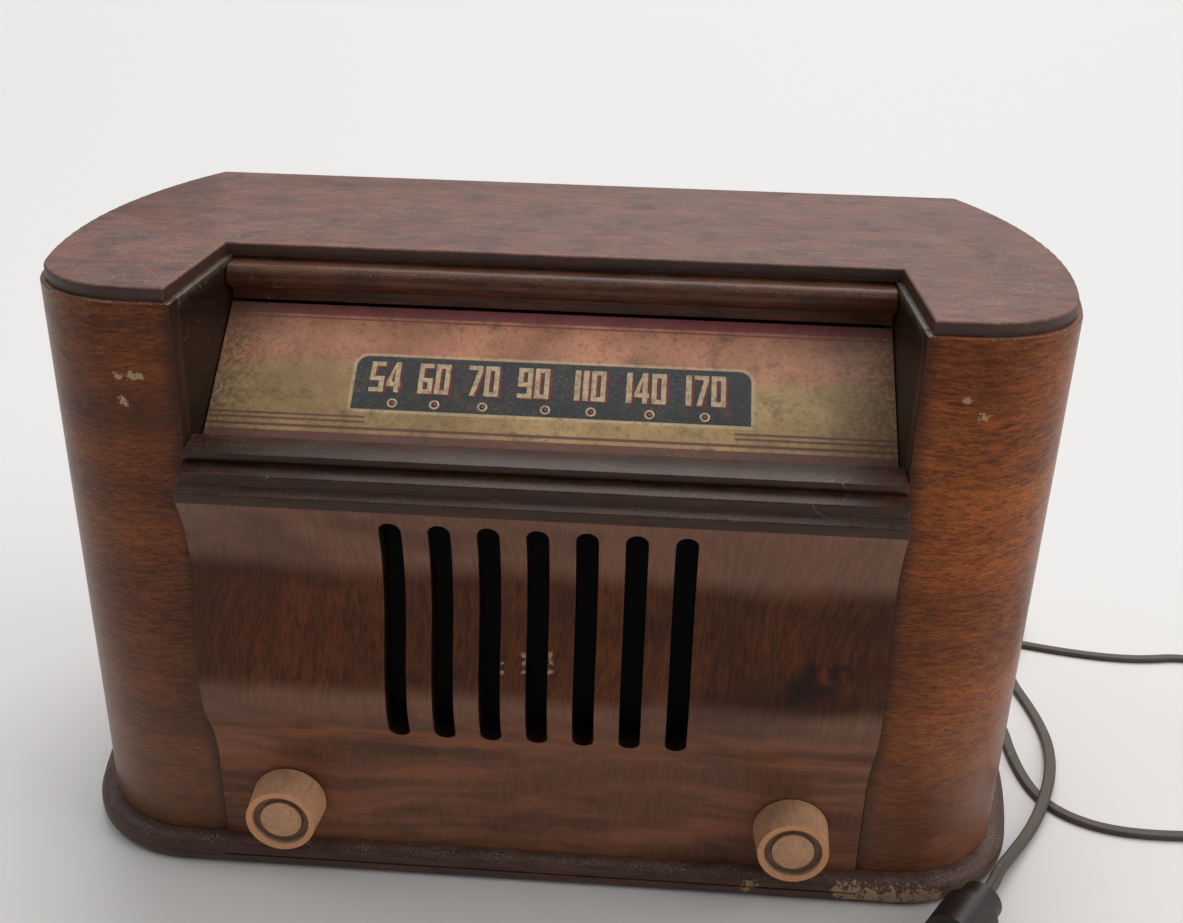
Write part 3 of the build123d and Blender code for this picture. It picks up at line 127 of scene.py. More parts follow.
def calc(tree, operation, *values, clamp=False):
    """One arithmetic step."""
    return put(tree, "ShaderNodeMath", {"operation": operation, "use_clamp": clamp}, *values).outputs[0]


def vector_calc(tree, operation, *values):
    """One step with vectors. A distance or a dot product comes out as a value."""
    node = put(tree, "ShaderNodeVectorMath", {"operation": operation}, *values)
    return node.outputs["Value" if operation in ("DISTANCE", "DOT_PRODUCT") else "Vector"]


def blend(tree, factor, first, second):
    """Two colours mixed by a factor."""
    node = put(tree, "ShaderNodeMix", {"data_type": "RGBA"})
    for index, value in ((0, factor), (6, first), (7, second)):
        feed(tree, node.inputs[index], value)
    return node.outputs[2]


def washed(tree, colour, *washes):
    """A colour with others laid over it in turn, each after its mask."""
    for mask, wash in washes:
        colour = blend(tree, mask, colour, wash)
    return colour


def ease(tree, value, low, high, top=1.0):
    """Zero below low, top above high, smooth between."""
    settings = {"interpolation_type": "SMOOTHSTEP"}
    node = put(tree, "ShaderNodeMapRange", settings, Value=value, From_Min=low, From_Max=high, To_Max=top)
    return node.outputs[0]


def noise(tree, place, scale, detail=2.0, roughness=0.5, distortion=0.0):
    """Fractal noise round a half."""
    grain = {"Vector": place, "Scale": scale, "Detail": detail, "Roughness": roughness, "Distortion": distortion}
    return put(tree, "ShaderNodeTexNoise", **grain).outputs[0]


def split(tree, vector):
    """The parts of a vector, by name."""
    return put(tree, "ShaderNodeSeparateXYZ", Vector=vector).outputs


def facing(tree):
    """The parts of the direction that the surface faces."""
    return split(tree, put(tree, "ShaderNodeNewGeometry").outputs["Normal"])


def stretched(tree, place, scale, turn=0.0):
    """Coordinates scaled along each axis, then turned about Y by degrees."""
    rotation = (0.0, math.radians(turn), 0.0)
    return put(tree, "ShaderNodeMapping", Vector=place, Scale=scale, Rotation=rotation).outputs[0]


def new_group(name, inputs, outputs, kind="ShaderNodeTree"):
    """An empty node group with its sockets: (name, type, default) going in, (name, type) coming out."""
    group = bpy.data.node_groups.new(name, kind)
    for label, sort, default in inputs:
        socket = group.interface.new_socket(label, in_out="INPUT", socket_type="NodeSocket" + sort)
        if default is not None:
            socket.default_value = default
    for label, sort in outputs:
        group.interface.new_socket(label, in_out="OUTPUT", socket_type="NodeSocket" + sort)
    return group, group.nodes.new("NodeGroupInput").outputs, group.nodes.new("NodeGroupOutput").inputs


# Veneer: long fibres across a stretched coordinate, slow bands of tone, fine open pores.
veneer, given, made = new_group(
    "Veneer",
    [
        ("Vector", "Vector", None),
        ("Light", "Color", (0.2, 0.07, 0.03, 1)),
        ("Dark", "Color", (0.05, 0.015, 0.007, 1)),
        ("Figure", "Float", 0.3),
        ("Pores", "Float", 0.5),
    ],
    [("Color", "Color"), ("Height", "Float")],
)
broad = ease(veneer, noise(veneer, given["Vector"], 1.0, 3.0, 0.55), 0.3, 0.7)
fibre = ease(veneer, noise(veneer, given["Vector"], 14.0, 5.0, 0.6), 0.3, 0.72)
rest = calc(veneer, "SUBTRACT", 1.0, given["Figure"])
tone = calc(veneer, "MULTIPLY", broad, given["Figure"])
tone = calc(veneer, "ADD", tone, calc(veneer, "MULTIPLY", fibre, rest))
grain = blend(veneer, tone, given["Dark"], given["Light"])
open_pore = ease(veneer, noise(veneer, given["Vector"], 60.0), 0.54, 0.70)
pore_mask = calc(veneer, "MULTIPLY", open_pore, given["Pores"], clamp=True)
grain = blend(veneer, pore_mask, grain, (0.012, 0.005, 0.003))
veneer.links.new(grain, made["Color"])
veneer.links.new(calc(veneer, "SUBTRACT", tone, open_pore), made["Height"])

# Dust: settles on faces that look up, in a patchy film of specks, with hairs of lint caught in it.
dust, given, made = new_group(
    "Dust",
    [
        ("Vector", "Vector", None),
        ("Amount", "Float", 0.5),
        ("Film", "Float", 0.0),
        ("Scale", "Float", 60.0),
        ("Lint", "Float", 0.25),
    ],
    [("Mask", "Float")],
)
patch = ease(dust, noise(dust, given["Vector"], given["Scale"], 7.0, 0.7), 0.3, 0.8)
speck = ease(dust, noise(dust, given["Vector"], 1300.0, 2.0, 0.6), 0.55, 0.66)
settled = calc(dust, "MULTIPLY", ease(dust, facing(dust)["Z"], 0.05, 0.95), patch)
settled = calc(dust, "MULTIPLY", settled, calc(dust, "MULTIPLY_ADD", speck, 2.3, 0.10))
settled = calc(dust, "MULTIPLY_ADD", settled, given["Amount"], given["Film"])
curl = calc(dust, "SUBTRACT", noise(dust, given["Vector"], 30.0, 1.0, distortion=0.5), 0.5)
strewn = ease(dust, noise(dust, given["Vector"], 52.0), 0.56, 0.62)
hair = calc(dust, "MULTIPLY", ease(dust, calc(dust, "ABSOLUTE", curl), 0.0036, 0.0012), strewn)
settled = calc(dust, "MULTIPLY_ADD", hair, given["Lint"], settled, clamp=True)
dust.links.new(settled, made["Mask"])

# Worn edge: where the skin turns sharply, broken up by noise.
worn_edge, given, made = new_group(
    "Worn edge",
    [("Vector", "Vector", None), ("Width", "Float", 0.0015), ("Amount", "Float", 0.6)],
    [("Mask", "Float")],
)
rounded = put(worn_edge, "ShaderNodeBevel", {"samples": 4}, Radius=given["Width"]).outputs[0]
flat_normal = put(worn_edge, "ShaderNodeNewGeometry").outputs["Normal"]
edge = ease(worn_edge, vector_calc(worn_edge, "DOT_PRODUCT", rounded, flat_normal), 0.995, 0.9)
rub = ease(worn_edge, noise(worn_edge, given["Vector"], 120.0, 5.0, 0.7), 0.4, 0.62)
edge = calc(worn_edge, "MULTIPLY", edge, rub)
worn_edge.links.new(calc(worn_edge, "MULTIPLY", edge, given["Amount"], clamp=True), made["Mask"])

# Chip: one ragged spot of missing lacquer round a point.
chip, given, made = new_group(
    "Chip",
    [("Vector", "Vector", None), ("Centre", "Vector", None), ("Radius", "Float", 0.004)],
    [("Mask", "Float")],
)
apart = vector_calc(chip, "DISTANCE", given["Vector"], given["Centre"])
share = calc(chip, "DIVIDE", apart, given["Radius"])
reach = calc(chip, "MULTIPLY_ADD", noise(chip, given["Vector"], 620.0, 5.0, 0.7), 3.2, share)
chip.links.new(ease(chip, reach, 2.25, 2.0), made["Mask"])
DUST_GREY = (0.30, 0.25, 0.22)
GRAIN_RELIEF = (0.10, 0.0003)


def use(tree, group, **sockets):
    """A shader group placed in a material: its outputs."""
    return put(tree, "ShaderNodeGroup", {"node_tree": group}, **sockets).outputs


def rubbed(tree, place, colour, bare, **sockets):
    """A colour rubbed through to a bare one along the edges."""
    return blend(tree, use(tree, worn_edge, Vector=place, **sockets)["Mask"], colour, bare)


def chipped(tree, place, colour, chips, bare=(0.40, 0.27, 0.16)):
    """A colour with spots of bare wood in it, each a centre and a radius."""
    spots = [use(tree, chip, Vector=place, Centre=centre, Radius=radius)["Mask"] for centre, radius in chips]
    return washed(tree, colour, *[(spot, bare) for spot in spots])


def dusted(tree, place, colour, grey=DUST_GREY, **sockets):
    """A colour with dust on it."""
    return blend(tree, use(tree, dust, Vector=place, **sockets)["Mask"], colour, grey)


def new_material(name):
    """An empty material: its tree, its shader and the piece's own coordinates."""
    material = bpy.data.materials.new(name)
    material.use_nodes = True
    tree = material.node_tree
    shader = tree.nodes["Principled BSDF"]
    place = tree.nodes.new("ShaderNodeTexCoord").outputs["Object"]
    return material, tree, shader, place


def surface(tree, shader, colour, roughness, relief=None, specular=0.5):
    """Colour, roughness as a value or (mask, low, high), and relief as (height, strength, distance)."""
    feed(tree, shader.inputs["Base Color"], colour)
    if isinstance(roughness, tuple):
        mask, low, high = roughness
        roughness = put(tree, "ShaderNodeMapRange", Value=mask, To_Min=low, To_Max=high).outputs[0]
    feed(tree, shader.inputs["Roughness"], roughness)
    shader.inputs["Specular IOR Level"].default_value = specular
    if relief:
        height, strength, distance = relief
        bump = put(tree, "ShaderNodeBump", Height=height, Strength=strength, Distance=distance)
        tree.links.new(bump.outputs[0], shader.inputs["Normal"])


def wood_material(
    name, stretch, light, dark, roughness, dusty, edge, figure=0.3, pores=0.5, specular=0.5,
    film=0.0, lint=0.3, blotched=0.0, side_shade=0.0, chips=(), fuzz_from=None,
):
    """Lacquered wood: grain by stretch, dust on top, rubbed edges, chips, and fuzz above a height."""
    material, tree, shader, place = new_material(name)
    along = stretched(tree, place, stretch)
    wood = use(tree, veneer, Vector=along, Light=light, Dark=dark, Figure=figure, Pores=pores)
    colour = wood["Color"]
    at = split(tree, place)
    if blotched:
        stained = ease(tree, noise(tree, place, 46.0, 7.0, 0.75), 0.45, 0.68, blotched)
        colour = blend(tree, stained, colour, (0.026, 0.019, 0.015))
    # Painted shade: faces that stand upright are darkened towards black-brown.
    if side_shade:
        upright_shade = ease(tree, facing(tree)["Z"], 0.6, 0.2, side_shade)
        colour = blend(tree, upright_shade, colour, (0.028, 0.015, 0.010))
    colour = rubbed(tree, place, colour, (0.22, 0.09, 0.045), Amount=edge)
    colour = chipped(tree, place, colour, chips)
    caught = ease(tree, calc(tree, "ABSOLUTE", at["X"]), 0.070, 0.130, lint)
    grey = use(tree, dust, Vector=place, Amount=dusty, Film=film, Lint=caught)["Mask"]
    colour = blend(tree, grey, colour, DUST_GREY)
    if fuzz_from:
        under_ledge = calc(tree, "MULTIPLY_ADD", noise(tree, place, 430.0, 5.0, 0.75), 0.020, at["Z"])
        fuzz = ease(tree, under_ledge, fuzz_from, fuzz_from + 0.0060, 0.80)
        colour = blend(tree, fuzz, colour, (0.115, 0.095, 0.068))
    surface(tree, shader, colour, (grey, roughness, 0.85), (wood["Height"], *GRAIN_RELIEF), specular)
    return material


base_chips = (
    ((0.1310, -0.1080, 0.0072), 0.0055),
    ((0.1365, -0.1080, 0.0058), 0.0080),
    ((0.1450, -0.1080, 0.0056), 0.0075),
    ((0.1535, -0.1080, 0.0050), 0.0080),
    ((0.1600, -0.1078, 0.0060), 0.0060),
    ((0.1665, -0.1070, 0.0060), 0.0075),
    ((0.1720, -0.1055, 0.0056), 0.0060),
    ((0.0925, -0.1080, 0.0070), 0.0045),
)
base_stain = wood_material(
    "base_stain", (3.5, 3.5, 40.0), (0.130, 0.055, 0.034), (0.038, 0.018, 0.012),
    roughness=0.5, dusty=0.55, edge=0.35, specular=0.35, film=0.03, chips=base_chips,
)
dressed("base_board", "cabinet", base_stain)

# Side wraps: thin bent plywood faced with straight-grained walnut, the grain running round the corner.
# Each is glued to the base, the cheek and the top. The lacquer is darkest beside the front panel, partly toner
# and partly painted shade at the joint; the left wrap is darkened as painted shade, and both are lightened low
# down as a painted reflection of the floor.


def wavering(tree, place, scale, reach):
    """Coordinates pushed about by slow noise, as far as reach along each axis."""
    push = put(tree, "ShaderNodeTexNoise", Vector=place, Scale=scale).outputs["Color"]
    return vector_calc(tree, "MULTIPLY_ADD", push, reach, place)


wrap_veneer, tree, shader, place = new_material("wrap_walnut")
round_corner = stretched(tree, wavering(tree, place, 7.0, (0.0, 0.0, 0.026)), (9.0, 9.0, 56.0))
light, dark = (0.465, 0.124, 0.020), (0.104, 0.024, 0.005)
wood = use(tree, veneer, Vector=round_corner, Light=light, Dark=dark, Figure=0.42, Pores=0.6)
dashes = ease(tree, noise(tree, round_corner, 30.0, 1.5), 0.53, 0.65, 0.55)
cloud = noise(tree, place, 12.0, 4.0, 0.55)
at = split(tree, place)
# Painted shade: the left wrap is darkened overall, as though it got less light than the right.
left_painted_shade = ease(tree, at["X"], 0.02, -0.02, 0.40)
off_middle = calc(tree, "ABSOLUTE", at["X"])
# Darker beside the front panel and on the inner end faces: partly toned lacquer, partly painted shade at the
# joint.
toner_and_joint_shade = ease(tree, off_middle, 0.146, 0.1388, 0.7)
inner_end_toner_and_shade = ease(tree, off_middle, 0.1391, 0.1386, 0.96)
# Painted reflection: lighter and greyer towards the bottom, standing in for the pale floor seen in the lacquer.
painted_floor_sheen = ease(tree, at["Z"], 0.130, 0.020, 0.32)
colour = washed(
    tree,
    wood["Color"],
    (dashes, (0.045, 0.013, 0.005)),
    (ease(tree, cloud, 0.45, 0.75, 0.6), (0.070, 0.018, 0.006)),
    (left_painted_shade, (0.020, 0.010, 0.008)),
    (calc(tree, "MAXIMUM", toner_and_joint_shade, inner_end_toner_and_shade), (0.022, 0.009, 0.005)),
    (painted_floor_sheen, (0.240, 0.150, 0.110)),
)
colour = rubbed(tree, place, colour, (0.20, 0.08, 0.04), Amount=0.25)
wrap_chips = (
    ((-0.1613, -0.1006, 0.2264), 0.0027),
    ((-0.1560, -0.1010, 0.2264), 0.0031),
    ((-0.1530, -0.1010, 0.2266), 0.0027),
    ((-0.1606, -0.1007, 0.2163), 0.0031),
    ((0.1559, -0.1010, 0.2322), 0.0022),
    ((0.1631, -0.1004, 0.2253), 0.0028),
)
colour = chipped(tree, place, colour, wrap_chips)
colour = dusted(tree, place, colour, Amount=2.6, Lint=0.03)
surface(tree, shader, colour, (cloud, 0.24, 0.42), (wood["Height"], *GRAIN_RELIEF), 0.2)
for wrap in ("left_side_wrap", "right_side_wrap"):
    dressed(wrap, "cabinet", wrap_veneer, 0.0006)

# Top board: flat veneered plywood let in between the wraps, grain from side to side.
# The lacquer has gone dull and blotched, its upright sides are darkened as painted shade, and a thin film of dust
# lies on it.
top_walnut = wood_material(
    "top_walnut", (5.0, 40.0, 40.0), (0.285, 0.100, 0.064), (0.092, 0.028, 0.021),
    roughness=0.5, dusty=0.68, edge=1.0, pores=0.55, specular=0.35,
    film=0.02, lint=0.12, blotched=0.68, side_shade=0.80,
)
dressed("top_board", "cabinet", top_walnut, EASED)

# Bay cheeks, header and sill: solid mouldings toned almost black-brown, glued round the dial.
# They are dusty on every tread, and fuzz has gathered where the cheeks meet the top board.
# Each moulding's stain is scaled by its own factor, partly as painted shade: the header is lightest, the cheeks
# set back in the bay far darker, the left cheek darkest.
for moulding, stretch, tone_and_shade, dusty, hairs, blotched, fuzz_from in (
    ("left_cheek", (26.0, 3.4, 26.0), 0.20, 0.31, 0.12, 0.0, 0.2610),
    ("right_cheek", (26.0, 3.4, 26.0), 0.28, 0.31, 0.15, 0.0, 0.2610),
    ("header_moulding", (4.0, 36.0, 36.0), 1.55, 0.31, 0.6, 0.55, None),
    ("sill_moulding", (4.0, 36.0, 36.0), 0.62, 0.22, 0.6, 0.70, None),
):
    light = [tone_and_shade * c for c in (0.115, 0.040, 0.018)]
    dark = [tone_and_shade * c for c in (0.022, 0.009, 0.005)]
    stain = wood_material(
        moulding + "_stain", stretch, light, dark, roughness=0.36, dusty=dusty, edge=0.4,
        figure=0.4, specular=0.3, lint=hairs, blotched=blotched, fuzz_from=fuzz_from,
    )
    dressed(moulding, "cabinet", stain, EASED)

# Front panel: plywood moulded to an S, faced with figured walnut whose grain runs up and down.
# Seven round-ended slots are cut through it for the sound, and two holes for the control shafts.
panel_veneer, tree, shader, place = new_material("panel_walnut")
bent = wavering(tree, place, 8.0, (0.045, 0.0, 0.03))
upward = stretched(tree, bent, (38.0, 6.0, 6.0))
light, dark = (0.175, 0.047, 0.012), (0.048, 0.013, 0.005)
wood = use(tree, veneer, Vector=upward, Light=light, Dark=dark, Figure=0.5, Pores=0.3)
dashes = ease(tree, noise(tree, upward, 24.0, 1.5), 0.53, 0.64, 0.45)
slant = stretched(tree, bent, (7.0, 1.0, 19.0), 24)
shade = ease(tree, noise(tree, slant, 1.6, 4.0, 0.55), 0.47, 0.68, 0.75)
knot = ease(tree, noise(tree, place, 75.0, 4.0, 0.6), 0.42, 0.58, 0.85)
burls = []
for centre, radius in (
    ((0.112, -0.113, 0.116), 0.013),
    ((0.102, -0.113, 0.110), 0.008),
    ((0.122, -0.112, 0.119), 0.007),
):
    burl = ease(tree, vector_calc(tree, "DISTANCE", place, centre), radius, radius * 0.3)
    burls.append((calc(tree, "MULTIPLY", burl, knot), (0.014, 0.005, 0.003)))
at = split(tree, place)
# Darker towards the ends beside the wraps: partly toned lacquer, partly painted shade at the joint.
toner_and_joint_shade = ease(tree, calc(tree, "ABSOLUTE", at["X"]), 0.118, 0.138, 0.4)
below = ease(tree, at["Z"], 0.100, 0.072)
flame = ease(tree, noise(tree, stretched(tree, bent, (9.0, 9.0, 62.0), 20), 1.6, 5.0, 0.6), 0.42, 0.66, 0.75)
wander = calc(tree, "MULTIPLY_ADD", noise(tree, place, 16.0, 3.0), 0.012, -0.006)
height_up = calc(tree, "ADD", at["Z"], wander)
# Painted reflection: a pale band at the top under the sill and a softer one low on the bulge and foot, for the
# room and floor seen in the lacquer, broken by fine streaks and weaker where the figure is dark.
under_sill = ease(tree, height_up, 0.147, 0.160, 0.50)
crest = ease(tree, height_up, 0.106, 0.096)
crest = calc(tree, "MULTIPLY", crest, calc(tree, "MULTIPLY_ADD", below, -0.16, 0.50))
painted_sheen = calc(tree, "MAXIMUM", under_sill, crest)
streak = ease(tree, noise(tree, stretched(tree, bent, (900.0, 90.0, 80.0)), 1.0, 3.0, 0.6), 0.35, 0.65)
painted_sheen = calc(tree, "MULTIPLY", painted_sheen, calc(tree, "MULTIPLY_ADD", streak, 0.28, 0.84))
painted_sheen = calc(tree, "MULTIPLY", painted_sheen, calc(tree, "MULTIPLY_ADD", shade, -0.6, 1.15))
# Painted shade: faces turned away from the front, the slot walls and cut ends, are darkened almost to black.
cut_face_shade = ease(tree, calc(tree, "ABSOLUTE", facing(tree)["Y"]), 0.42, 0.18, 0.9)
colour = washed(
    tree,
    wood["Color"],
    (dashes, (0.020, 0.007, 0.003)),
    (shade, (0.028, 0.009, 0.005)),
    *burls,
    (toner_and_joint_shade, (0.045, 0.017, 0.009)),
    (calc(tree, "MULTIPLY", flame, below), (0.360, 0.118, 0.046)),
    (painted_sheen, (0.300, 0.160, 0.112)),
    (cut_face_shade, (0.016, 0.010, 0.007)),
)
colour = rubbed(tree, place, colour, (0.20, 0.09, 0.045), Amount=0.3, Width=0.001)
slot_chips = (
    ((-0.0143, -0.1132, 0.1119), 0.0018),
    ((-0.0140, -0.1125, 0.1158), 0.0013),
    ((-0.0052, -0.1117, 0.1196), 0.0018),
    ((-0.0052, -0.1124, 0.1165), 0.0015),
    ((-0.0051, -0.1131, 0.1127), 0.0015),
    ((0.0053, -0.1116, 0.1201), 0.0019),
    ((0.0056, -0.1123, 0.1170), 0.0021),
    ((0.0054, -0.1130, 0.1132), 0.0020),
)
colour = chipped(tree, place, colour, slot_chips, (0.34, 0.24, 0.15))
colour = dusted(tree, place, colour, Amount=0.30, Lint=0.04)
smear = noise(tree, place, 14.0, 5.0, 0.6)
surface(tree, shader, colour, (smear, 0.20, 0.36), (wood["Height"], *GRAIN_RELIEF), 0.15)
panel_skin = dressed("front_panel", "cabinet", panel_veneer, EASED)

# Panel laths: two strips of stained softwood glued up the back of the panel, one inside each end.
# They follow its curve and close the space between it and the front edges of the wraps.
LATH_W, LATH_INSET, LATH_GLUE, LATH_STEPS = 0.0060, 0.0005, 0.0001, 60


def lofted(name, bodies, smooth=False, capped=True):
    """A mesh of bodies, each skinned over its rows of points and closed at both ends if capped."""
    mesh = bpy.data.meshes.new(name)
    sheet = bmesh.new()
    for body in bodies:
        rows = [[sheet.verts.new(point) for point in row] for row in body]
        for first, second in zip(rows, rows[1:]):
            for i in range(len(first)):
                j = (i + 1) % len(first)
                sheet.faces.new((first[i], first[j], second[j], second[i]))
        if capped:
            sheet.faces.new(list(reversed(rows[0])))
            sheet.faces.new(rows[-1])
    bmesh.ops.recalc_face_normals(sheet, faces=sheet.faces)
    for face in sheet.faces:
        face.smooth = smooth
    sheet.to_mesh(mesh)
    sheet.free()
    return mesh


panel_back = BVHTree.FromPolygons(
    [v.co for v in panel_skin.data.vertices], [p.vertices for p in panel_skin.data.polygons]
)
panel_low, panel_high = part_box("front_panel")
lath_foot, lath_head, lath_back = panel_low[2] + 0.055, panel_high[2] - 0.0004, panel_high[1]
lath_rows = []
for end in (-1.0, 1.0):
    outer = end * (panel_high[0] - LATH_INSET)
    inner = end * (panel_high[0] - LATH_INSET - LATH_W)
    rungs = []
    for i in range(LATH_STEPS + 1):
        height = lath_foot + (lath_head - lath_foot) * i / LATH_STEPS
        touch = panel_back.ray_cast(Vector((inner, lath_back + 0.01, height)), Vector((0.0, -1.0, 0.0)))[0]
        front = min(touch.y + LATH_GLUE, lath_back - 2 * LATH_GLUE)
        corners = ((outer, front), (inner, front), (inner, lath_back), (outer, lath_back))
        rungs.append([(x, y, height) for x, y in corners])
    lath_rows.append(rungs)
laths = lofted("panel_laths", lath_rows)
lath_stain = wood_material(
    "lath_stain", (40.0, 40.0, 4.0), (0.060, 0.026, 0.014), (0.020, 0.009, 0.006),
    roughness=0.6, dusty=0.3, edge=0.1, specular=0.2,
)
laths.materials.append(lath_stain)
panel_laths = stand("panel_laths", laths)
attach(panel_laths, "cabinet")

# Grille cloth: a plain weave, nearly black, stretched over the speaker board behind the slots.
# It is glued to the front of the board and shows only as a dark ground in each slot.


def finish_node(node, material):
    """A carried-over piece in a material."""
    nodes[node].data.materials.clear()
    nodes[node].data.materials.append(material)


cloth, tree, shader, place = new_material("grille_weave")
threads = put(tree, "ShaderNodeTexWave", Vector=place, Scale=420.0, Distortion=0.4)
across = put(tree, "ShaderNodeTexWave", {"bands_direction": "Z"}, Vector=place, Scale=420.0, Distortion=0.4)
weave = calc(tree, "MULTIPLY", threads.outputs["Fac"], across.outputs["Fac"])
colour = blend(tree, weave, (0.004, 0.003, 0.003), (0.014, 0.010, 0.008))
surface(tree, shader, colour, 0.95, (weave, 0.3, 0.0002))
finish_node("grille_cloth", cloth)

# Dial glass: a sloped pane, printed on its back and lit from behind when the set is on.
# The print is tan with a copper upper half, maroon bands and lines, and a slate window for the numbers.
GLASS_T = 0.0025
MM = 0.001
STRIPE_SOFT = 0.25
glass_low, glass_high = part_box("dial_glass")
slope = math.atan2(0.64965537, 0.76022885)
glass_across = Vector((1.0, 0.0, 0.0))
glass_up = Vector((0.0, math.cos(slope), math.sin(slope)))
glass_out = Vector((0.0, -math.sin(slope), math.cos(slope)))
glass_middle = (Vector(glass_low) + Vector(glass_high)) / 2 + glass_out * GLASS_T / 2
dial_print, tree, shader, place = new_material("dial_print")
on_glass = put(
    tree,
    "ShaderNodeMapping",
    {"vector_type": "TEXTURE"},
    Vector=place,
    Location=glass_middle,
    Rotation=(slope, 0.0, 0.0),
    Scale=(MM, MM, MM),
)
on_glass = split(tree, on_glass.outputs[0])
dial_y = on_glass["Y"]
from_middle = calc(tree, "ABSOLUTE", on_glass["X"])


def between(tree, value, rise, fall, top=1.0):
    """Top between a rising slope and a falling one, each given as where it is zero and where it is full."""
    return calc(tree, "MULTIPLY", ease(tree, value, *rise, top), ease(tree, value, *fall))


def hypotenuse(tree, one, other):
    """The long side over two short ones."""
    return calc(tree, "SQRT", calc(tree, "MULTIPLY_ADD", one, one, calc(tree, "MULTIPLY", other, other)))


def window(half, low, high, corner, soft=0.2):
    """A panel with round upper corners, in millimetres."""
    side = calc(tree, "MAXIMUM", calc(tree, "SUBTRACT", from_middle, half - corner), 0.0)
    rise = calc(tree, "MAXIMUM", calc(tree, "SUBTRACT", dial_y, high - corner), 0.0)
    inside = ease(tree, hypotenuse(tree, side, rise), corner + soft, corner - soft)
    return calc(tree, "MULTIPLY", inside, ease(tree, dial_y, low - soft, low + soft))


age = noise(tree, place, 22.0, 6.0, 0.65)
grime = noise(tree, place, 95.0, 5.0, 0.7)
fine = noise(tree, place, 520.0, 3.0, 0.65)
mottled = ease(tree, age, 0.3, 0.7)
tan = blend(tree, mottled, (0.390, 0.242, 0.098), (0.730, 0.485, 0.220))
copper = blend(tree, mottled, (0.400, 0.165, 0.092), (0.840, 0.370, 0.205))
upper_half = ease(tree, calc(tree, "MULTIPLY_ADD", age, 16.0, dial_y), 8.0, 20.0)
colour = blend(tree, upper_half, tan, copper)
border = calc(tree, "MULTIPLY", window(82.0, -15.6, 11.9, 6.0), 0.55)
colour = blend(tree, border, colour, (0.78, 0.62, 0.38))
slate = blend(tree, age, (0.020, 0.029, 0.037), (0.044, 0.047, 0.050))
colour = blend(tree, window(80.6, -14.2, 10.6, 5.0), colour, slate)
beside = ease(tree, from_middle, 73.8, 74.4, 0.80)
# The two top bands lie in the header's shadow and are printed in a lighter maroon as painted light.
maroon, maroon_painted_light = (0.165, 0.040, 0.050), (0.290, 0.066, 0.100)
for low, high, ink, cover in (
    (-18.4, -17.3, maroon, beside),
    (-20.6, -19.5, maroon, beside),
    (-23.7, -22.4, maroon, 0.85),
    (-36.0, -25.4, maroon, 0.85),
    (29.4, 36.0, maroon_painted_light, 0.85),
    (27.4, 28.2, maroon_painted_light, 0.85),
):
    rise, fall = (low - STRIPE_SOFT, low + STRIPE_SOFT), (high + STRIPE_SOFT, high - STRIPE_SOFT)
    colour = blend(tree, between(tree, dial_y, rise, fall, cover), colour, ink)
corner_dust = calc(tree, "MULTIPLY_ADD", ease(tree, fine, 0.36, 0.60), 0.50, 0.35)
colour = washed(
    tree,
    colour,
    (ease(tree, fine, 0.52, 0.68, 0.42), (0.16, 0.085, 0.050)),
    (ease(tree, grime, 0.50, 0.72, 0.6), (0.12, 0.075, 0.045)),
    (calc(tree, "MULTIPLY", ease(tree, from_middle, 102.0, 140.0), corner_dust), (0.170, 0.108, 0.070)),
)
caught = ease(tree, from_middle, 80.0, 128.0, 0.9)
colour = dusted(tree, place, colour, (0.50, 0.40, 0.31), Amount=0.22, Lint=caught)
surface(tree, shader, colour, (grime, 0.18, 0.55))
dressed("dial_glass", "cabinet", dial_print, 0.0003)

# Dial numbers and stop marks: block figures in cream with a red shadow, and a cream ring with a red middle
# under each. They are thin layers of ink on the pane, laid out in millimetres from its middle.
FIGURE_W, FIGURE_H, STROKE, FIGURE_GAP = 5.8, 14.0, 2.0, 1.1
ONE_W, BELOW_MIDDLE, FOUR_TAIL = STROKE * 1.15, 6.0, 0.6
INK_T = 0.00004


def bar(x0, y0, x1, y1):
    """A straight stroke between two corners."""
    return [(x0, y0), (x1, y0), (x1, y1), (x0, y1)]


w, h, s = FIGURE_W, FIGURE_H, STROKE
half_h, low_h, stem = h * 0.52, h * 0.34, w - FOUR_TAIL
figures = {
    "0": [bar(0, 0, s, h), bar(w - s, 0, w, h), bar(s, h - s, w - s, h), bar(s, 0, w - s, s)],
    "1": [bar(0, 0, ONE_W, h)],
    "4": [
        bar(stem - s, 0, stem, h),
        [(0, low_h), (s * 0.95, low_h), (stem - s, h * 0.82), (stem - s, h)],
        bar(0, low_h - s, stem - s, low_h),
        bar(stem, low_h - s, w, low_h),
    ],
    "5": [
        bar(0, h - s, w, h), bar(0, half_h, s, h - s), bar(0, half_h - s, w, half_h),
        bar(w - s, s, w, half_h - s), bar(0, 0, w, s),
    ],
    "6": [
        bar(0, 0, s, h), bar(s, h - s, w, h), bar(s, half_h - s, w, half_h),
        bar(w - s, s, w, half_h - s), bar(s, 0, w, s),
    ],
    "7": [bar(0, h - s, w, h), [(w * 0.18, 0), (w * 0.18 + s, 0), (w, h - s), (w - s, h - s)]],
    "9": [
        bar(w - s, 0, w, h), bar(0, h - s, w - s, h), bar(0, half_h - s, w - s, half_h),
        bar(0, half_h, s, h - s), bar(0, 0, w - s, s),
    ],
}
stations = {"54": -68.0, "60": -48.1, "70": -27.9, "90": -7.4, "110": 15.6, "140": 38.3, "170": 62.3}
marks = (-64.0, -46.8, -27.3, -1.9, 16.5, 40.0, 62.2)


def on_pane(x, y, lift):
    """A point on the pane, x and y in millimetres from its middle, lift in metres off it."""
    return glass_middle + glass_across * x * MM + glass_up * y * MM + glass_out * lift


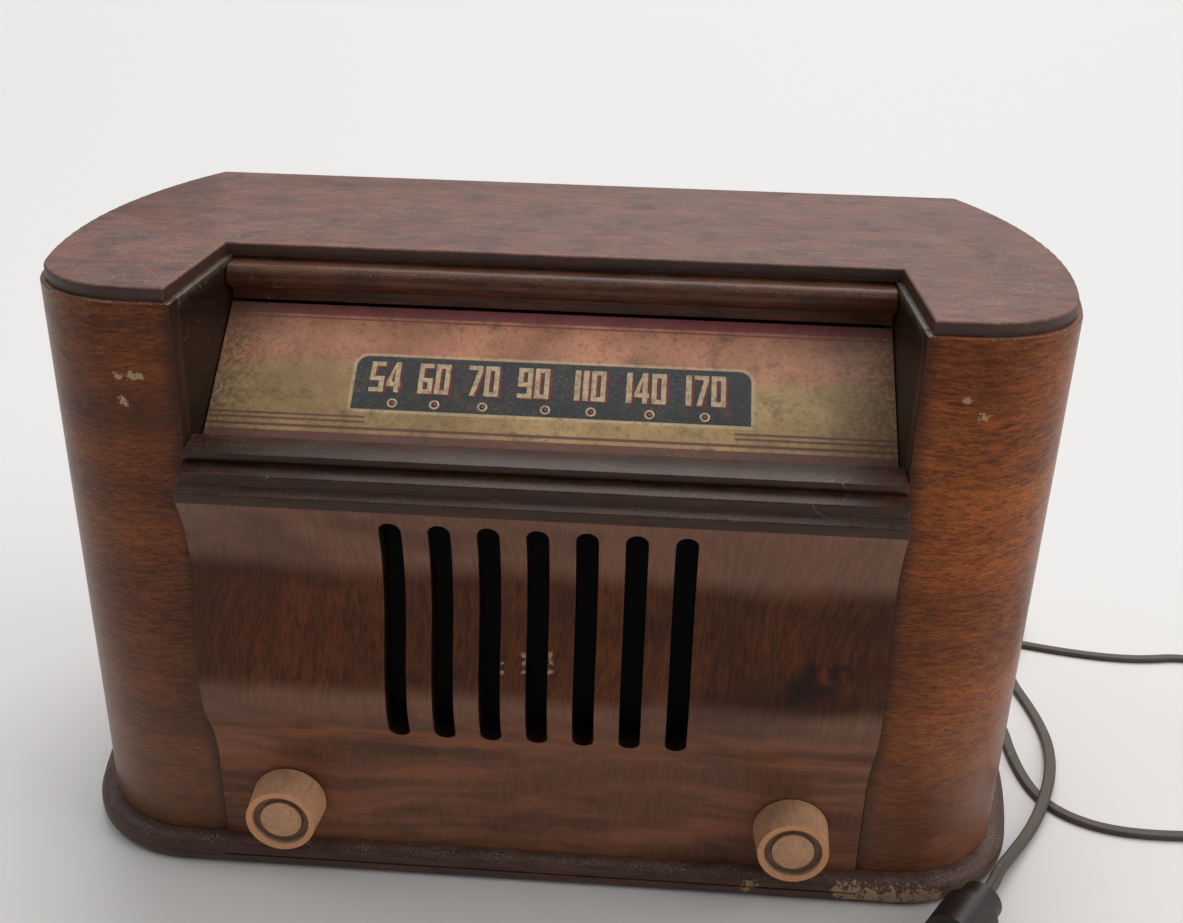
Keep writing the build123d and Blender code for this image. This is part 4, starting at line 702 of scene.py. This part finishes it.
def printed_ink(name, colour):
    """Old printing ink, thin in spots."""
    ink, tree, shader, place = new_material(name)
    thick = ease(tree, noise(tree, place, 400.0, 4.0, 0.7), 0.35, 0.6)
    surface(tree, shader, blend(tree, thick, [c * 0.55 for c in colour], colour), 0.4)
    return ink


def ink_piece(name, polygons, lift, colour):
    """Flat polygons as one thin layer of ink."""
    layers = []
    for outline in polygons:
        layers.append([[on_pane(x, y, height) for x, y in outline] for height in (lift, lift + INK_T)])
    mesh = lofted(name, layers)
    mesh.materials.append(printed_ink(name + "_ink", colour))
    piece = stand(name, mesh)
    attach(piece, "cabinet")


strokes = []
for number, middle in stations.items():
    widths = [ONE_W if digit == "1" else FIGURE_W for digit in number]
    left = middle - (sum(widths) + FIGURE_GAP * (len(number) - 1)) / 2
    for digit, width in zip(number, widths):
        strokes += [[(x + left, y - BELOW_MIDDLE) for x, y in outline] for outline in figures[digit]]
        left += width + FIGURE_GAP
fallen = [[(x + 1.0, y - 0.6) for x, y in outline] for outline in strokes]
ink_piece("dial_shadows", fallen, 0.00003, (0.28, 0.038, 0.035))
ink_piece("dial_figures", strokes, 0.00010, (0.72, 0.56, 0.34))


def joined(tree, **parts):
    """A vector from its parts."""
    return put(tree, "ShaderNodeCombineXYZ", **parts).outputs[0]


def set_out(tree, given, made, instance, rotation, material):
    """One instance at each point, made real and given its material."""
    points = given["Geometry"]
    placed = put(tree, "GeometryNodeInstanceOnPoints", Points=points, Instance=instance, Rotation=rotation)
    real = put(tree, "GeometryNodeRealizeInstances", Geometry=placed.outputs[0])
    coated = put(tree, "GeometryNodeSetMaterial", Geometry=real.outputs[0], Material=material)
    tree.links.new(coated.outputs[0], made["Geometry"])


# Each stop mark is a flat washer or a disc of ink, set on the pane at its own point.
stop_marks, given, made = new_group(
    "Stop marks",
    [
        ("Geometry", "Geometry", None),
        ("Radius", "Float", 0.0017),
        ("Band", "Float", 0.0009),
        ("Thickness", "Float", INK_T),
        ("Tilt", "Float", 0.0),
        ("Ink", "Material", None),
    ],
    [("Geometry", "Geometry")],
    "GeometryNodeTree",
)
tree = stop_marks
ring = put(tree, "GeometryNodeCurvePrimitiveCircle", Resolution=28, Radius=given["Radius"]).outputs[0]
flat_bar = put(tree, "GeometryNodeCurvePrimitiveQuadrilateral", Width=given["Band"], Height=given["Thickness"])
washer = put(tree, "GeometryNodeCurveToMesh", Curve=ring, Profile_Curve=flat_bar.outputs[0]).outputs[0]
set_out(tree, given, made, washer, joined(tree, X=given["Tilt"]), given["Ink"])


def from_points(name, points, tree, **sockets):
    """A plain mesh from a node tree set over points, its inputs given by name."""
    seed_mesh = bpy.data.meshes.new(name + "_points")
    seed_mesh.from_pydata([tuple(p) for p in points], [], [])
    carrier = stand(name + "_points", seed_mesh)
    modifier = carrier.modifiers.new(name, "NODES")
    modifier.node_group = tree
    for item in tree.interface.items_tree:
        if item.item_type == "SOCKET" and item.in_out == "INPUT" and item.name in sockets:
            modifier[item.identifier] = sockets[item.name]
    bpy.context.view_layer.update()
    mesh = bpy.data.meshes.new_from_object(carrier.evaluated_get(bpy.context.evaluated_depsgraph_get()))
    carrier.modifiers.clear()
    bpy.data.objects.remove(carrier, do_unlink=True)
    mesh.name = name
    return stand(name, mesh)


mark_points = [on_pane(x, -11.0, 0.00005) for x in marks]
for name, radius, width, colour in (
    ("dial_rings", 0.0017, 0.0009, (0.72, 0.58, 0.36)),
    ("dial_dots", 0.0005, 0.0010, (0.28, 0.045, 0.04)),
):
    ink = printed_ink(name + "_ink", colour)
    marks_piece = from_points(name, mark_points, stop_marks, Radius=radius, Band=width, Tilt=slope, Ink=ink)
    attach(marks_piece, "cabinet")

# Knobs: moulded tan plastic, a tapered barrel with a rounded rim, a dark ring groove and a domed middle.
# Each pushes on a quarter-inch shaft. Grey dust clings to the upper side of the barrel.
KNOB_X, KNOB_Z = 0.1085, 0.034
for knob, knob_x, body in (("volume_knob", -KNOB_X, "volume_set"), ("tuning_knob", KNOB_X, "tuning_set")):
    plastic, tree, shader, place = new_material(knob + "_tan")
    at = split(tree, place)
    off_x = calc(tree, "SUBTRACT", at["X"], knob_x)
    radius = hypotenuse(tree, off_x, calc(tree, "SUBTRACT", at["Z"], KNOB_Z))
    mottle = noise(tree, place, 160.0, 5.0, 0.65)
    streak = ease(tree, noise(tree, stretched(tree, place, (900.0, 45.0, 900.0)), 1.0), 0.5, 0.7, 0.45)
    rim = between(tree, radius, (0.0118, 0.0124), (0.0150, 0.0142), 0.7)
    groove = between(tree, radius, (0.0085, 0.0092), (0.0123, 0.0117), 0.75)
    groove = calc(tree, "MULTIPLY", groove, ease(tree, at["Y"], -0.1085, -0.1115))
    colour = washed(
        tree,
        blend(tree, mottle, (0.42, 0.200, 0.095), (0.86, 0.470, 0.245)),
        (streak, (0.26, 0.155, 0.092)),
        (rim, (0.80, 0.330, 0.120)),
        (groove, (0.060, 0.024, 0.012)),
    )
    pale = (0.36, 0.290, 0.235)
    colour = dusted(tree, place, colour, pale, Amount=1.9, Film=0.06, Scale=140.0, Lint=0.3)
    surface(tree, shader, colour, (mottle, 0.35, 0.65), (mottle, 0.15, 0.0004))
    dressed(knob, body, plastic)

# Works: chassis, speaker, valves, tuning gang and drive. They are bolted to the base or hung on the panel,
# and show only through the vents and when the back is off. The blades of the plug have the same kind of finish.


def made_finish(name, colour, roughness, metallic=0.0, clear=0.0, grain=90.0):
    """A made surface with faint mottling and handling marks."""
    finish, tree, shader, place = new_material(name)
    handled = noise(tree, place, grain, 6.0, 0.65)
    colour = blend(tree, ease(tree, handled, 0.3, 0.7), [c * 0.72 for c in colour], colour)
    surface(tree, shader, colour, (handled, roughness * 0.8, min(1.0, roughness * 1.25)))
    shader.inputs["Metallic"].default_value = metallic
    shader.inputs["Transmission Weight"].default_value = clear
    return finish


# Each row is a piece, its colour and roughness, then how metallic and how clear it is if it is either.
for node, *finish in (
    ("corner_blocks", (0.45, 0.30, 0.17), 0.75),
    ("rear_battens", (0.45, 0.30, 0.17), 0.75),
    ("speaker_baffle", (0.16, 0.10, 0.06), 0.85),
    ("dial_reflector", (0.70, 0.67, 0.58), 0.35),
    ("pointer_rail", (0.50, 0.50, 0.48), 0.35, 1.0),
    ("dial_pointer", (0.50, 0.05, 0.03), 0.35),
    ("speaker_frame", (0.030, 0.030, 0.030), 0.45, 0.3),
    ("speaker_cone", (0.045, 0.040, 0.035), 0.9),
    ("speaker_magnet", (0.12, 0.12, 0.12), 0.55, 0.8),
    ("output_transformer", (0.10, 0.065, 0.04), 0.5, 0.2),
    ("chassis", (0.42, 0.40, 0.35), 0.45, 0.9),
    ("chassis_bolts", (0.35, 0.33, 0.30), 0.4, 1.0),
    ("tuning_capacitor", (0.60, 0.60, 0.58), 0.4, 1.0),
    ("capacitor_rotor", (0.62, 0.62, 0.60), 0.35, 1.0),
    ("dial_drum", (0.12, 0.07, 0.04), 0.7),
    ("tuning_shaft", (0.50, 0.49, 0.46), 0.3, 1.0),
    ("tuning_shaft_bush", (0.52, 0.38, 0.15), 0.35, 1.0),
    ("volume_control", (0.45, 0.43, 0.38), 0.4, 0.9),
    ("volume_shaft", (0.50, 0.49, 0.46), 0.3, 1.0),
    ("tube_sockets", (0.05, 0.03, 0.02), 0.55),
    ("tube_bases", (0.035, 0.022, 0.016), 0.35),
    ("if_cans", (0.62, 0.62, 0.61), 0.38, 1.0),
    ("filter_capacitor", (0.42, 0.30, 0.15), 0.55),
    ("loop_aerial", (0.30, 0.22, 0.12), 0.8),
    ("tube_glass", (0.80, 0.82, 0.80), 0.05, 0.0, 0.9),
    ("dial_lamps", (0.85, 0.80, 0.65), 0.08, 0.0, 0.8),
    ("plug_pins", (0.48, 0.36, 0.16), 0.35, 1.0),
):
    finish_node(node, made_finish(node + "_finish", *finish))

# Rear cover: a sheet of brown pressed board with vent holes, set into the back and held by six screws.
# Its outer face has a fine fibrous tooth and a darker, dusty lower edge.
board, tree, shader, place = new_material("pressed_board")
pulp = noise(tree, place, 520.0, 4.0, 0.7)
colour = blend(tree, ease(tree, pulp, 0.35, 0.65), (0.080, 0.038, 0.017), (0.215, 0.115, 0.056))
cloud = ease(tree, noise(tree, place, 9.0, 4.0, 0.6), 0.35, 0.7, 0.6)
colour = blend(tree, cloud, colour, (0.095, 0.050, 0.025))
damp = ease(tree, split(tree, place)["Z"], 0.05, 0.013, 0.55)
colour = blend(tree, damp, colour, (0.16, 0.13, 0.11))
surface(tree, shader, colour, 0.82, (pulp, 0.35, 0.0003))
dressed("rear_cover", "cabinet", board, 0.0003)

# Rear cover screws: six round-headed wood screws of plated steel, each with a sawn slot, driven into the battens.
# One screw is turned, slotted and set at the middle of each hole.
SHANK_LENGTH = 0.013
cover_screws, given, made = new_group(
    "Cover screws",
    [
        ("Geometry", "Geometry", None),
        ("Head radius", "Float", 0.004),
        ("Head height", "Float", 0.0022),
        ("Slot width", "Float", 0.0009),
        ("Slot depth", "Float", 0.0011),
        ("Shank radius", "Float", 0.00175),
        ("Shank length", "Float", SHANK_LENGTH),
        ("Seed", "Int", 4),
        ("Finish", "Material", None),
    ],
    [("Geometry", "Geometry")],
    "GeometryNodeTree",
)
tree = cover_screws


def moved(tree, shape, **sockets):
    """A shape shifted or scaled."""
    return put(tree, "GeometryNodeTransform", Geometry=shape.outputs[0], **sockets).outputs[0]


ball = put(tree, "GeometryNodeMeshUVSphere", Segments=28, Rings=16, Radius=1.0)
oval = joined(tree, X=given["Head radius"], Y=given["Head radius"], Z=given["Head height"])
wide = calc(tree, "MULTIPLY", given["Head radius"], 3.0)
upper = put(tree, "GeometryNodeMeshCube", Size=joined(tree, X=wide, Y=wide, Z=wide))
upper = moved(tree, upper, Translation=joined(tree, Z=calc(tree, "MULTIPLY", wide, 0.5)))
head = put(tree, "GeometryNodeMeshBoolean", {"operation": "INTERSECT"}, Mesh_2=moved(tree, ball, Scale=oval))
tree.links.new(upper, head.inputs["Mesh 2"])
saw_z = calc(tree, "MULTIPLY", given["Slot depth"], 2.0)
saw = put(tree, "GeometryNodeMeshCube", Size=joined(tree, X=wide, Y=given["Slot width"], Z=saw_z))
saw = moved(tree, saw, Translation=joined(tree, Z=given["Head height"]))
slotted = put(tree, "GeometryNodeMeshBoolean", {"operation": "DIFFERENCE"}, Mesh_1=head.outputs[0], Mesh_2=saw)
length = given["Shank length"]
shank = put(tree, "GeometryNodeMeshCylinder", Vertices=16, Radius=given["Shank radius"], Depth=length)
sunk = joined(tree, Z=calc(tree, "MULTIPLY", length, -0.5))
screw = put(tree, "GeometryNodeJoinGeometry", Geometry=slotted.outputs[0])
tree.links.new(moved(tree, shank, Translation=sunk), screw.inputs[0])
driven = put(tree, "FunctionNodeRandomValue", Seed=given["Seed"]).outputs[1]
turned = put(
    tree,
    "FunctionNodeRotateRotation",
    {"rotation_space": "LOCAL"},
    Rotation=joined(tree, X=-math.pi / 2),
    Rotate_By=joined(tree, Z=calc(tree, "MULTIPLY", driven, math.pi)),
)
set_out(tree, given, made, screw.outputs[0], turned.outputs[0], given["Finish"])

loose = bmesh.new()
loose.from_mesh(nodes["rear_cover_screws"].data)
bmesh.ops.remove_doubles(loose, verts=loose.verts, dist=WELD)
holes, seen = [], set()
for start in loose.verts:
    if start in seen:
        continue
    island, todo = [], [start]
    seen.add(start)
    while todo:
        here = todo.pop()
        island.append(here.co.copy())
        for edge in here.link_edges:
            there = edge.other_vert(here)
            if there not in seen:
                seen.add(there)
                todo.append(there)
    low = [min(p[i] for p in island) for i in range(3)]
    high = [max(p[i] for p in island) for i in range(3)]
    holes.append(((low[0] + high[0]) / 2, low[1] + SHANK_LENGTH, (low[2] + high[2]) / 2))
loose.free()
plating = made_finish("dulled_plating", (0.34, 0.31, 0.26), 0.42, 1.0, grain=400.0)
screws = from_points("cover_screws", holes, cover_screws, Finish=plating)
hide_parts("rear_cover_screws")
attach(screws, "cabinet")

# Lead: flat twin rubber flex, 5.6 by 2.8 mm, grey-brown with age. It leaves the back through a grommet, lies
# loosely round the side, and its spare length is wound in a tied coil before it comes back to the plug.
CORD_W, CORD_T = 0.0056, 0.0028
lying = CORD_T / 2 + 0.0001
lead_out = [
    (0.1200, 0.1332, 0.0350), (0.1200, 0.1472, 0.0350), (0.1220, 0.1623, 0.0270), (0.1300, 0.1741, 0.0150),
    (0.1430, 0.1802, 0.0055), (0.1580, 0.1790), (0.1750, 0.1720), (0.1910, 0.1600),
    (0.2050, 0.1450), (0.2150, 0.1270), (0.2210, 0.1070), (0.2260, 0.0860),
    (0.2300, 0.0650), (0.2320, 0.0440), (0.2327, 0.0240), (0.2320, 0.0080),
    (0.2330, -0.0100), (0.2365, -0.0270), (0.2450, -0.0390), (0.2570, -0.0465),
    (0.2700, -0.0500), (0.2840, -0.0510), (0.3040, -0.0503), (0.3305, -0.0474),
    (0.3501, -0.0436), (0.3689, -0.0368),
]
coil_middle = Vector((0.3800, 0.0160, 0.0))
coil_turns, coil_in, coil_out = 4, -50.0, 20.0
coil_mid_r, coil_pitch = 0.0304, 0.0063
coil_low, coil_lift = 0.0024, 0.0031
coil_sweep = 360.0 * coil_turns + coil_out - coil_in
coil_least = coil_mid_r - coil_pitch * coil_sweep / 1440
coil_points = []
steps = 12 * coil_turns + 2
for n in range(steps + 1):
    wound = coil_sweep * n / steps
    past = wound - coil_sweep / 2
    radius = coil_least + coil_pitch * abs(past) / 360
    if abs(past) < 90:
        radius = coil_least + coil_pitch * (past**2 / 180 + 45) / 360
    climb = min(max(past / 180 + 0.5, 0.0), 1.0)
    angle = math.radians(coil_in + wound)
    swell = radius / math.cos(math.radians(coil_sweep / steps / 2))
    spoke = Vector((swell * math.cos(angle), swell * math.sin(angle), coil_low + coil_lift * climb))
    coil_points.append(coil_middle + spoke)
lead_back = [
    (0.4060, 0.0498, 0.0042), (0.3990, 0.0670, 0.0030), (0.3890, 0.0840, 0.0020), (0.3775, 0.0980),
    (0.3630, 0.1075), (0.3495, 0.1090), (0.3380, 0.1065), (0.3240, 0.1049),
    (0.3060, 0.1056), (0.2850, 0.1092), (0.2640, 0.1144), (0.2470, 0.1200),
    (0.2320, 0.1290), (0.2235, 0.1440), (0.2280, 0.1600), (0.2420, 0.1695),
    (0.2580, 0.1665), (0.2680, 0.1535), (0.2680, 0.1380, 0.0028), (0.2620, 0.1235, 0.0051),
    (0.2580, 0.1095, 0.0051), (0.2525, 0.0960, 0.0030), (0.2488, 0.0830), (0.2485, 0.0710),
    (0.2525, 0.0480), (0.2540, 0.0240), (0.2510, 0.0030, 0.0030), (0.2450, -0.0170, 0.0050),
    (0.2380, -0.0340, 0.0054), (0.2310, -0.0480, 0.0042), (0.2225, -0.0615, 0.0040), (0.2125, -0.0765, 0.0062),
    (0.2025, -0.0920, 0.0094), (0.1977, -0.1029, 0.0120), (0.1900, -0.1139, 0.0122),
]
route = [(*point, lying)[:3] for point in lead_out + coil_points + lead_back]
line = bpy.data.curves.new("lead_route", "CURVE")
line.dimensions = "3D"
spline = line.splines.new("NURBS")
spline.points.add(len(route) - 1)
for point, at in zip(spline.points, route):
    point.co = (*at, 1.0)
spline.order_u = 3
spline.use_endpoint_u = True
spline.resolution_u = 8
route_object = stand("lead_route", line)
bpy.context.view_layer.update()
route_mesh = bpy.data.meshes.new_from_object(route_object.evaluated_get(bpy.context.evaluated_depsgraph_get()))
centre = [v.co.copy() for v in route_mesh.vertices]
bpy.data.objects.remove(route_object, do_unlink=True)
bpy.data.meshes.remove(route_mesh)

lobe = CORD_T / 2
section = []
for side in (1, -1):
    for n in range(9):
        a = math.radians(-130 + 260 * n / 8)
        section.append((side * (CORD_W / 2 - lobe) + side * lobe * math.cos(a), side * lobe * math.sin(a)))
rows = []
for i, here in enumerate(centre):
    heading = (centre[min(i + 1, len(centre) - 1)] - centre[max(i - 1, 0)]).normalized()
    sideways = heading.cross(Vector((0, 0, 1))).normalized()
    upwards = sideways.cross(heading)
    rows.append([here + sideways * x + upwards * y for x, y in section])
lead_mesh = lofted("lead", [rows], smooth=True)
lead = stand("lead", lead_mesh)
flex, tree, shader, place = new_material("aged_flex")
soil = noise(tree, place, 45.0, 6.0, 0.65)
scuff = noise(tree, place, 160.0, 3.0, 0.6)
colour = blend(tree, soil, (0.046, 0.034, 0.025), (0.112, 0.086, 0.066))
colour = blend(tree, ease(tree, scuff, 0.62, 0.74, 0.6), colour, (0.20, 0.165, 0.135))
surface(tree, shader, colour, 0.55, (scuff, 0.15, 0.0003))
lead_mesh.materials.append(flex)
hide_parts("power_cord", "power_cord_coil", "power_cord_tail")
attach(lead, "cabinet")

# Tie: a strip of woven tape round the coil, its ends sewn together underneath.
# It lies close round the four turns, with its corners bent over the outer ones.
TIE_HALF, TIE_T, TIE_BEND = 0.003, 0.0003, 0.0016
tie_angle = math.radians(150.0)
tie_in = coil_least - CORD_W / 2 - 0.0006
tie_out = 2 * coil_mid_r - coil_least + CORD_W / 2 + 0.0006
tie_low, tie_high = 0.0003, coil_low + coil_lift + CORD_T / 2 + 0.0004
radial = Vector((math.cos(tie_angle), math.sin(tie_angle), 0))
tangent = Vector((-math.sin(tie_angle), math.cos(tie_angle), 0))
outline = []
for cx, cz, start in (
    (tie_out - TIE_BEND, tie_high - TIE_BEND, 0),
    (tie_in + TIE_BEND, tie_high - TIE_BEND, 90),
    (tie_in + TIE_BEND, tie_low + TIE_BEND, 180),
    (tie_out - TIE_BEND, tie_low + TIE_BEND, 270),
):
    for n in range(5):
        a = math.radians(start + 22.5 * n)
        outline.append((cx + TIE_BEND * math.cos(a), cz + TIE_BEND * math.sin(a)))
edges = []
for offset in (-TIE_HALF, TIE_HALF):
    edges.append([coil_middle + radial * x + tangent * offset + Vector((0, 0, z)) for x, z in outline])
tie_mesh = lofted("tie", [edges], capped=False)
tie = stand("tie", tie_mesh)
thick = tie.modifiers.new("thickness", "SOLIDIFY")
thick.thickness = TIE_T
thick.offset = 0.0
tape, tree, shader, place = new_material("woven_tape")
yarn = put(tree, "ShaderNodeTexWave", {"bands_direction": "DIAGONAL"}, Vector=place, Scale=500.0, Distortion=0.6)
yarn = yarn.outputs["Fac"]
surface(tree, shader, blend(tree, yarn, (0.09, 0.08, 0.065), (0.20, 0.18, 0.15)), 0.9, (yarn, 0.3, 0.0002))
tie_mesh.materials.append(tape)
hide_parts("cord_tie")
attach(tie, "cabinet")

# Grommet and plug: moulded black rubber, the plug with a round collar and a round body, and two brass blades.
# The rubber has a faint bloom, and a little dust lies on the upper side of the plug.
rubber, tree, shader, place = new_material("plug_rubber_aged")
bloom = noise(tree, place, 70.0, 6.0, 0.65)
colour = blend(tree, bloom, (0.008, 0.005, 0.005), (0.026, 0.016, 0.015))
colour = dusted(tree, place, colour, (0.22, 0.18, 0.16), Amount=0.15, Scale=150.0)
surface(tree, shader, colour, 0.42, (bloom, 0.2, 0.0004))
grommet_skin = dressed("cord_grommet", "cabinet", rubber, 0.0003)
plug_skin = dressed("plug_body", "cabinet", rubber)

# Studio: a plain pale floor that runs on to the horizon, soft light from above and both sides, and the camera.
# The room is dim at the sides and bright overhead, and an even pale grey where the camera sees it.
FLOOR = 30
floor_mesh = bpy.data.meshes.new("floor")
floor_corners = [(-FLOOR, -FLOOR, 0), (FLOOR, -FLOOR, 0), (FLOOR, FLOOR, 0), (-FLOOR, FLOOR, 0)]
floor_mesh.from_pydata(floor_corners, [], [(0, 1, 2, 3)])
floor = stand("floor", floor_mesh)
paper, tree, shader, place = new_material("floor_paper")
surface(tree, shader, (0.80, 0.79, 0.78), 0.6)
floor_mesh.materials.append(paper)


def window_light(name, heading, strength, spread, colour):
    """Light from one broad window, far enough off to fall evenly: its heading, strength and spread in degrees."""
    lamp = bpy.data.lights.new(name, "SUN")
    lamp.energy = strength
    lamp.angle = math.radians(spread)
    lamp.color = colour
    stand(name, lamp).rotation_euler = Vector(heading).to_track_quat("-Z", "Y").to_euler()


window_light("back_window", (-0.10, -0.55, -0.83), 1.52, 50, (1.0, 0.985, 0.97))
window_light("right_window", (-0.87, 0.16, -0.46), 0.85, 40, (1.0, 0.97, 0.94))
window_light("left_window", (0.83, -0.11, -0.55), 0.16, 40, (1.0, 0.98, 0.96))
world = bpy.data.worlds.new("studio")
bpy.context.scene.world = world
world.use_nodes = True
tree = world.node_tree
direction = split(tree, tree.nodes.new("ShaderNodeTexCoord").outputs["Generated"])
from_back = calc(tree, "MULTIPLY_ADD", direction["Y"], 0.35, direction["Z"])
room = blend(tree, ease(tree, from_back, 0.20, 0.80), (0.07, 0.07, 0.07), (0.66, 0.67, 0.68))
in_view = tree.nodes.new("ShaderNodeLightPath").outputs["Is Camera Ray"]
tree.links.new(blend(tree, in_view, room, (0.80, 0.80, 0.795)), tree.nodes["Background"].inputs["Color"])

view = bpy.data.cameras.new("camera")
view.sensor_fit = "HORIZONTAL"
view.sensor_width = 36.0
view.lens = 38.547
camera = stand("camera", view)
camera.matrix_world = Matrix(
    (
        (0.99761043, -0.04790828, 0.04978174, 0.043098),
        (0.06483592, 0.40024016, -0.91411384, -0.540668),
        (0.02386897, 0.91515715, 0.40238993, 0.394124),
        (0.0, 0.0, 0.0, 1.0),
    )
)
bpy.context.scene.camera = camera
bpy.context.scene.view_settings.view_transform = "Standard"
